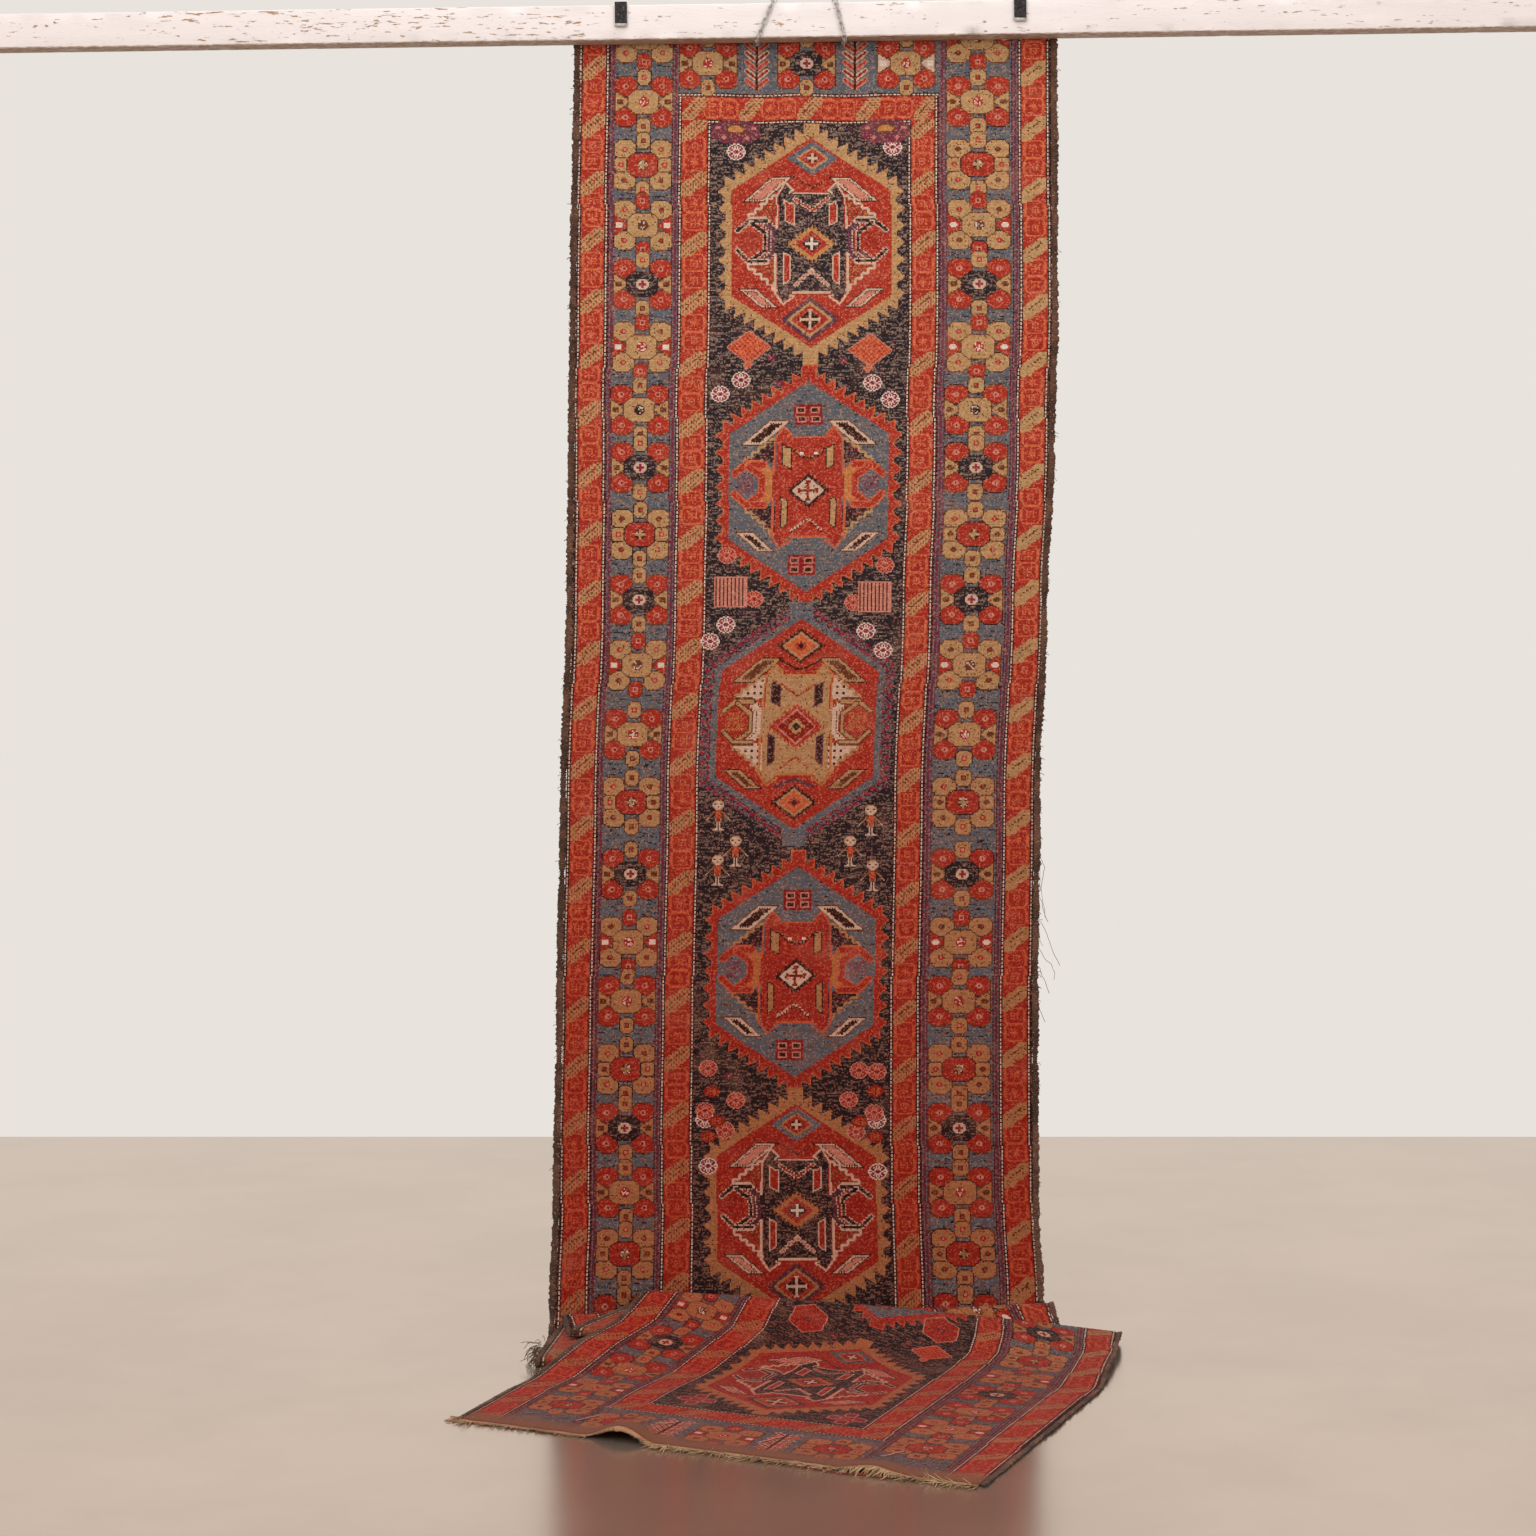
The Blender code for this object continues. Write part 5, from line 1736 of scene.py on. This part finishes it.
def edge_threads():
    """Short hairs down both edges, long ones low on the right, and a tangle at the lower left."""
    lines = []
    for number in range(130):
        side = number % 2
        start = cloth_place(0.003 if side == 0 else 0.997, 0.08 + 2.62 * dice.random())
        aim = (-1 if side == 0 else 1, -0.6, 0.4)
        lines.append(falling_thread(start, 0.005 + 0.008 * dice.random(), aim, 100 + number))
    for number, height in enumerate((1.04, 1.01, 0.98, 0.95, 0.90, 0.88, 0.84, 0.80, 0.74)):
        start = cloth_place(0.998, RUG_TOP_HEIGHT - height)
        lines.append(falling_thread(start, 0.04 + 0.08 * dice.random(), (0.22, -0.1, -0.2), 400 + number))
    for number in range(70):
        start = cloth_place(0.004, 2.95 + 0.13 * dice.random()) + dice.random(3) * (0.004, 0.01, 0.03)
        aim = (-0.8 + 0.6 * dice.random(), -0.7 * dice.random(), 0.7 * dice.random() - 0.1)
        lines.append(falling_thread(start, 0.012 + 0.034 * dice.random(), aim, 500 + number))
    return lines


edge_lines = edge_threads()
loose = thread_along(guide_line("loose_hair", edge_lines), goat_hair, 0.00055, 4)
finish_piece(loose, "dark_goat_hair")

# %% The frayed corner of the lying end
frayed_lines = []
for number in range(46):
    corner = cloth_place(0.004 + 0.02 * dice.random(), 4.185 + 0.024 * dice.random())
    aim = (-0.8 + 0.5 * dice.random(), -0.5 * dice.random(), 0.25 * dice.random())
    frayed_lines.append(falling_thread(corner, 0.012 + 0.030 * dice.random(), aim, 600 + number))
frayed = thread_along(guide_line("frayed_corner", frayed_lines), worn_web, 0.0007, 4)
finish_piece(frayed, "undyed_cotton")

# %% [markdown]
# ## The fringed end
#
# Where the pile stops, a narrow band of plain weave holds the last row of knots, and the warps come out
# of it as a short cotton fringe. Much of it has worn away. Strands bend down to the floor where the
# cloth is lifted. The last few millimetres above the floor are eased, so no strand goes through it.

# %% Band of plain weave, and its strands
BAND_STEPS = 320
BAND_HALF = 0.0010
FRINGE_STEPS = 900
TUFT_SPACING = 0.0036
FLOOR_EASE = 0.004


def end_line(shares, beyond):
    """Points past the rug's end, the direction outwards, and the cloth's face there."""
    line = np.stack([cloth_points(share, np.array([RUG_LENGTH - 0.01, RUG_LENGTH])) for share in shares])
    outward = line[:, 1] - line[:, 0]
    outward /= np.linalg.norm(outward, axis=1, keepdims=True)
    across = np.gradient(line[:, 1], axis=0)
    face = np.cross(outward, across)
    face /= np.linalg.norm(face, axis=1, keepdims=True)
    return line[:, 1] + outward * beyond, outward, face


def plain_band():
    """The woven band: a thin closed strip with a ragged outer edge."""
    shares = np.linspace(0.015, 0.985, BAND_STEPS)
    ragged = 0.0048 + 0.003 * np.convolve(dice.random(BAND_STEPS) - 0.5, np.ones(3), "same")
    rows = []
    for depth in (-0.0035, 0.0005, 0.0022, None):
        beyond = ragged if depth is None else np.full(BAND_STEPS, depth)
        points, _, face = end_line(shares, beyond[:, None])
        droop = np.maximum(points[:, 2] - FLOOR_Z - 0.003, 0) * (0.25 if depth is None else 0.0)
        points[:, 2] -= droop
        rows.append((points, face))
    count = 4 * BAND_STEPS
    vertices = np.concatenate([points + face * BAND_HALF for points, face in rows]
                              + [points - face * BAND_HALF for points, face in rows])
    grid = np.arange(count).reshape(4, BAND_STEPS)
    faces = [quads(4, BAND_STEPS, 0, False), quads(4, BAND_STEPS, count, True)]
    for line, turned in ((grid[:, 0], True), (grid[:, -1], False), (grid[0, :], False), (grid[-1, :], True)):
        corners = np.stack([line[:-1], line[1:], line[1:] + count, line[:-1] + count], axis=1)
        faces.append(corners[:, ::-1] if turned else corners)
    piece = new_piece("plain_band", vertices.tolist(), np.concatenate(faces).tolist())
    piece.data.materials.append(worn_web)
    return piece


def fringe_strands():
    """Warp ends, in ones and twos, of uneven length."""
    shares = np.linspace(0.014, 0.986, FRINGE_STEPS)
    points, outward, face = end_line(shares, 0.006)
    lift = np.clip((points[:, 2] - FLOOR_Z - 0.004) / 0.02, 0, 1)[:, None]
    heading = outward + np.array([0, 0, -1.6]) * lift + np.array([0, 0, 0.10])
    heading[:, :2] += dice.normal(0, 0.45, (FRINGE_STEPS, 2))
    heading /= np.linalg.norm(heading, axis=1, keepdims=True)
    length = 0.40 + 0.40 * dice.random(FRINGE_STEPS)
    length += (shares > 0.38) * (0.30 + 0.75 * dice.random(FRINGE_STEPS) ** 2)
    length += 0.9 * (shares < 0.04) * dice.random(FRINGE_STEPS)
    length *= np.where(np.abs(shares - 0.33) < 0.06, 0.45, 1.0)
    guide = guide_line("cotton_fringe", [points], {"along": [heading], "facing": [face], "size": [length]})
    prongs = []
    for lean_x, lean_y, reach in ((0.0, 0.0, 0.020), (0.0035, 0.0052, 0.024), (0.0022, -0.0060, 0.017)):
        prongs.append([((lean_x * share ** 2, lean_y * share, reach * share - 0.002), wide, wide)
                       for share, wide in ((0, 0.0008), (0.35, 0.0008), (0.7, 0.0006), (1, 0.0002))])
    tuft = tube_shape("tuft", prongs, 4)
    piece = step_along(guide, tuft, cotton, TUFT_SPACING, twist=3.0, spread=0.2, seed=9)
    for vertex in piece.data.vertices:
        above = vertex.co.z - FLOOR_Z
        if above < FLOOR_EASE:
            vertex.co.z = FLOOR_Z + FLOOR_EASE * math.exp((above - FLOOR_EASE) / FLOOR_EASE)
    return piece


band = finish_piece(plain_band(), "undyed_cotton")
fringe = finish_piece(fringe_strands(), "undyed_cotton", "end_fringe")

# %% The loose red weft under the right-hand lift
weft_points, _, _ = end_line(np.linspace(0.62, 0.86, 60), 0.006)
weft_points[:, 1] -= 0.018 * np.sin(np.linspace(0, math.pi, 60)) + 0.002 * np.sin(np.linspace(0, 17, 60))
weft_points[:, 2] = FLOOR_Z + 0.0018
weft = thread_along(guide_line("loose_weft", [weft_points]), red_yarn, 0.0011, 6)
finish_piece(weft, "madder_wool")

# %% [markdown]
# ## The beam
#
# The beam is a long sawn board, painted many years ago. Its outline is a rectangle with softened
# corners, drawn out in many short steps, so that small dents and a slight waviness can be modelled.

# %% A board with soft, dented corners
BEAM_MIDDLE_X = -0.093
BEAM_LENGTH = 3.66
BEAM_HALF_DEPTH = 0.020
BEAM_HEIGHT = 0.075
BEAM_UNDERSIDE_Z = -0.302
BEAM_SLOPE = math.radians(0.80)


def beam_outline():
    """Points round the board's section, with extra ones on its corners: (y, height)."""
    corner = 0.0028
    points = []
    for centre_y, centre_z, first in ((-BEAM_HALF_DEPTH + corner, corner, 180),
                                      (BEAM_HALF_DEPTH - corner, corner, 270),
                                      (BEAM_HALF_DEPTH - corner, BEAM_HEIGHT - corner, 0),
                                      (-BEAM_HALF_DEPTH + corner, BEAM_HEIGHT - corner, 90)):
        for step in range(4):
            turn = math.radians(first + 30 * step)
            points.append((centre_y + corner * math.cos(turn), centre_z + corner * math.sin(turn)))
        following = len(points) // 4
        if following in (2, 4):
            y = BEAM_HALF_DEPTH if following == 2 else -BEAM_HALF_DEPTH
            heights = (0.026, 0.05) if following == 2 else (0.05, 0.026)
            points += [(y, height) for height in heights]
    return np.array(points)


def build_beam():
    """Sweep the outline along the board, with small dents."""
    outline = beam_outline()
    stations = 420
    along = np.linspace(-BEAM_LENGTH / 2, BEAM_LENGTH / 2, stations)
    around = len(outline)
    centre = np.array([0.0, BEAM_HEIGHT / 2])
    inward = centre - outline
    inward /= np.linalg.norm(inward, axis=1, keepdims=True)
    dents = np.abs(dice.normal(0, 1, (stations, around)))
    for _ in range(3):
        dents = (dents + np.roll(dents, 1, 0) + np.roll(dents, -1, 0)) / 3
    dents = np.clip(dents - 0.85, 0, 1) * 0.0022
    section = outline[None] + inward[None] * dents[..., None]
    x = BEAM_MIDDLE_X + along[:, None] * math.cos(BEAM_SLOPE) - section[..., 1] * math.sin(BEAM_SLOPE)
    z = BEAM_UNDERSIDE_Z + along[:, None] * math.sin(BEAM_SLOPE) + section[..., 1] * math.cos(BEAM_SLOPE)
    vertices = np.stack([x, section[..., 0], z], axis=2).reshape(-1, 3)
    faces = []
    for station in range(stations - 1):
        for step in range(around):
            after = (step + 1) % around
            low, high = station * around, (station + 1) * around
            faces.append((low + step, high + step, high + after, low + after))
    faces.append(tuple(range(around)))
    faces.append(tuple(range((stations - 1) * around, stations * around))[::-1])
    piece = new_piece("painted_beam", vertices.tolist(), faces)
    piece.data.materials.append(old_paint)
    return piece


beam = finish_piece(build_beam(), "old_white_paint", "beam")

# %% [markdown]
# ## Fittings
#
# Two blackened steel clamps grip the beam. Two thin chains go from a round ring down the beam's front,
# under it, and up its back. The clamps keep their solid shape and get a small bright foot and a screw.
# A chain link is a bent wire, repeated along the chain and turned a quarter every time.

# %% Clamps: steel on the solids, and their screws


def small_disc(name, centre, radius, depth, material, around=16):
    """A low round head, slightly domed, that faces the viewer."""
    rings = [((0, 0, 0), radius, radius), ((0, 0, depth * 0.7), radius, radius),
             ((0, 0, depth), radius * 0.72, radius * 0.72)]
    head = tube_shape(name, [rings], around)
    turned = Matrix.Rotation(math.radians(90), 4, "X")
    head.data.transform(Matrix.Translation(centre) @ turned)
    head.data.materials.append(material)
    return head


CLAMP_X = {"left": -0.409, "right": 0.448}
CLAMP_FACE_Y = -0.0252
SCREW_DOWN = 0.016
FOOT_DOWN = 0.0445
on_its_side = Matrix.Rotation(math.radians(90), 4, "Y")
for side, x in CLAMP_X.items():
    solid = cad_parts[f"clamp_{side}"]
    solid.data.materials.clear()
    solid.data.materials.append(black_steel)
    top = BEAM_UNDERSIDE_Z + (x - BEAM_MIDDLE_X) * math.tan(BEAM_SLOPE) + BEAM_HEIGHT
    screw = small_disc(f"clamp_screw_{side}", (x, CLAMP_FACE_Y, top - SCREW_DOWN), 0.0050, 0.0024, black_steel)
    finish_piece(screw, "blackened_steel", smooth=False)
    bar = [((0, 0, -0.0125), 0.0038, 0.0024), ((0, 0, 0.0125), 0.0038, 0.0024)]
    foot = tube_shape(f"clamp_foot_{side}", [bar], 12)
    foot.data.transform(Matrix.Translation((x, CLAMP_FACE_Y, top - FOOT_DOWN)) @ on_its_side)
    foot.data.materials.append(zinc)
    finish_piece(foot, "zinc_plated_steel", smooth=False)

# %% Ring and chains
RING_CENTRE_Z = -0.018
RING_RADIUS = 0.022
RING_WIRE = 0.004
CHAIN_STAND = 0.0048
CHAIN_HOOP = 0.009
CHAIN_TOP_Z = RING_CENTRE_Z - RING_RADIUS + RING_WIRE + CHAIN_STAND
CHAIN_TOP_X = {"left": -0.0065, "right": 0.0065}
CHAIN_BEND = 0.008
LINK_PITCH = 0.0135
LINK_HALF_WIDTH = 0.0034
LINK_ARM = 0.0058
LINK_WIRE = 0.0015
LINK_POINTS = 12


def bent_wire(name, centres, radius, around):
    """A closed loop of wire through a ring of centres that lie in one plane through the origin's Y axis."""
    count = len(centres)
    points = []
    for number, centre in enumerate(centres):
        before, after = centres[number - 1], centres[(number + 1) % count]
        outward = (Vector(after) - Vector(before)).cross(Vector((0, 1, 0))).normalized()
        for step in range(around):
            turn = 2 * math.pi * step / around
            offset = outward * math.cos(turn) * radius + Vector((0, math.sin(turn) * radius, 0))
            points.append(tuple(Vector(centre) + offset))
    faces = []
    for number in range(count):
        following = (number + 1) % count
        for step in range(around):
            after = (step + 1) % around
            faces.append((number * around + step, following * around + step,
                          following * around + after, number * around + after))
    wire = new_piece(name, points, faces)
    made = bmesh.new()
    made.from_mesh(wire.data)
    bmesh.ops.recalc_face_normals(made, faces=made.faces)
    made.to_mesh(wire.data)
    made.free()
    wire.data.shade_smooth()
    return wire


ring_centres = [(RING_RADIUS * math.cos(turn), 0, RING_CENTRE_Z + RING_RADIUS * math.sin(turn))
                for turn in np.linspace(0, 2 * math.pi, 64, endpoint=False)]
ring = bent_wire("sling_ring", ring_centres, RING_WIRE, 16)
ring.data.materials.append(zinc)
finish_piece(ring, "zinc_plated_steel", "ring")


def chain(side):
    """One closed loop of chain."""
    top_x, foot_x = CHAIN_TOP_X[side], SLING_FOOT_X[side]
    front = -(BEAM_HALF_DEPTH + CHAIN_STAND)
    beam_under = BEAM_UNDERSIDE_Z + (foot_x - BEAM_MIDDLE_X) * math.tan(BEAM_SLOPE)
    under = beam_under - CHAIN_STAND - 0.0004
    above = beam_under + BEAM_HEIGHT + 0.004

    def at(y, z):
        share = (CHAIN_TOP_Z - z) / (CHAIN_TOP_Z - under)
        return Vector((top_x + (foot_x - top_x) * share, y, z))

    corners = [at(-CHAIN_HOOP, CHAIN_TOP_Z), at(front, above), at(front, under), at(-front, under),
               at(-front, above), at(CHAIN_HOOP, CHAIN_TOP_Z)]
    route = []
    for number, corner in enumerate(corners):
        route += rounded(corners[number - 1], corner, corners[(number + 1) % 6], CHAIN_BEND, 6)
    route = np.array([tuple(point) for point in route + route[:1]])
    run = np.concatenate([[0], np.cumsum(np.linalg.norm(np.diff(route, axis=0), axis=1))])
    links = 2 * round(run[-1] / LINK_PITCH / 2)
    places = np.linspace(0, run[-1], links * 4 + 1)
    line = np.stack([np.interp(places, run, route[:, axis]) for axis in range(3)], axis=1)
    along = np.gradient(line, axis=0)
    facing = np.cross(along, (1.0, 0.0, 0.0))
    guide = guide_line(f"chain_{side}", [line[:-2]],
                       {"along": [along[:-2]], "facing": [facing[:-2]], "size": [np.ones(len(line) - 2)]})
    centres = []
    for step in range(LINK_POINTS):
        turn = math.radians(15 + 30 * step)
        arm = LINK_ARM if math.sin(turn) > 0 else -LINK_ARM
        centres.append((LINK_HALF_WIDTH * math.cos(turn), 0, LINK_HALF_WIDTH * math.sin(turn) + arm))
    link = bent_wire("chain link", centres, LINK_WIRE, 6)
    piece = step_along(guide, link, zinc, run[-1] / links, every_other=math.pi / 2, twist=0.12, seed=3)
    return finish_piece(piece, "zinc_plated_steel", f"sling_{side}")


chains = [chain(side) for side in ("left", "right")]

# %% Give the rug to the frame
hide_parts("rug")
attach(rug, BODY)

# %% [markdown]
# ## Floor, light and camera
#
# The floor is pale and polished, so it mirrors the rug's foot softly. Large soft lights stand
# in for a studio. The camera is level, 5.4 m away and 1.3 m above the floor.

# %% Floor
FLOOR_BACK_Y = 2.75
FLOOR_REACH = 60.0


def floor_material():
    """A plain pale floor. It mirrors so much that most of it is treated as a dull mirror."""
    paint = Paint("pale floor", 0.30, metallic=0.86)
    cloudy = paint.noise(paint.place(), 1.6, 5.0, 0.6)
    colour = paint.mix(cloudy.ramp(0.3, 0.7), opaque(203, 184, 167), opaque(214, 195, 178))
    return paint.finish(colour, 0.17 + cloudy * 0.10)


floor_corners = [(-FLOOR_REACH, -FLOOR_REACH, FLOOR_Z), (FLOOR_REACH, -FLOOR_REACH, FLOOR_Z),
                 (FLOOR_REACH, FLOOR_BACK_Y, FLOOR_Z), (-FLOOR_REACH, FLOOR_BACK_Y, FLOOR_Z)]
floor = new_piece("floor", floor_corners, [(0, 1, 2, 3)])
floor.data.materials.append(floor_material())

# %% Light and camera
CAMERA_X = -0.093
CAMERA_DISTANCE = 5.43
CAMERA_HEIGHT = 1.29
LENS_MM = 58.8
HORIZON_UP = 28 / 1536


def soft_light(name, place, aim, size, power, colour=(1.0, 1.0, 1.0)):
    """A square area light that looks at a point."""
    data = bpy.data.lights.new(name, "AREA")
    data.size = size
    data.energy = power
    data.color = colour
    light = bpy.data.objects.new(name, data)
    light.location = place
    light.visible_glossy = False
    light.rotation_euler = (Vector(aim) - Vector(place)).to_track_quat("-Z", "Y").to_euler()
    bpy.context.scene.collection.objects.link(light)
    return light


soft_light("front key", (-2.6, -4.6, 0.6), (0, 0, -1.6), 3.0, 125, (1.0, 0.97, 0.93))
soft_light("front fill", (3.2, -4.2, -0.4), (0, 0, -1.8), 3.0, 75, (1.0, 0.98, 0.96))
soft_light("overhead", (0, -0.8, 1.6), (0, -0.3, -3.0), 2.5, 40)
world = bpy.data.worlds.new("studio")
bpy.context.scene.world = world
world.use_nodes = True
world.node_tree.nodes["Background"].inputs["Color"].default_value = opaque(238, 232, 226)
world.node_tree.nodes["Background"].inputs["Strength"].default_value = 0.95
bpy.context.scene.view_settings.view_transform = "Standard"
camera_data = bpy.data.cameras.new("camera")
camera_data.lens = LENS_MM
camera_data.shift_y = -HORIZON_UP
camera = bpy.data.objects.new("camera", camera_data)
camera.location = (CAMERA_X, SHEET_Y - CAMERA_DISTANCE, FLOOR_Z + CAMERA_HEIGHT)
camera.rotation_euler = (math.radians(90), 0, 0)
bpy.context.scene.collection.objects.link(camera)
bpy.context.scene.camera = camera

# %% Update the scene
bpy.context.view_layer.update()
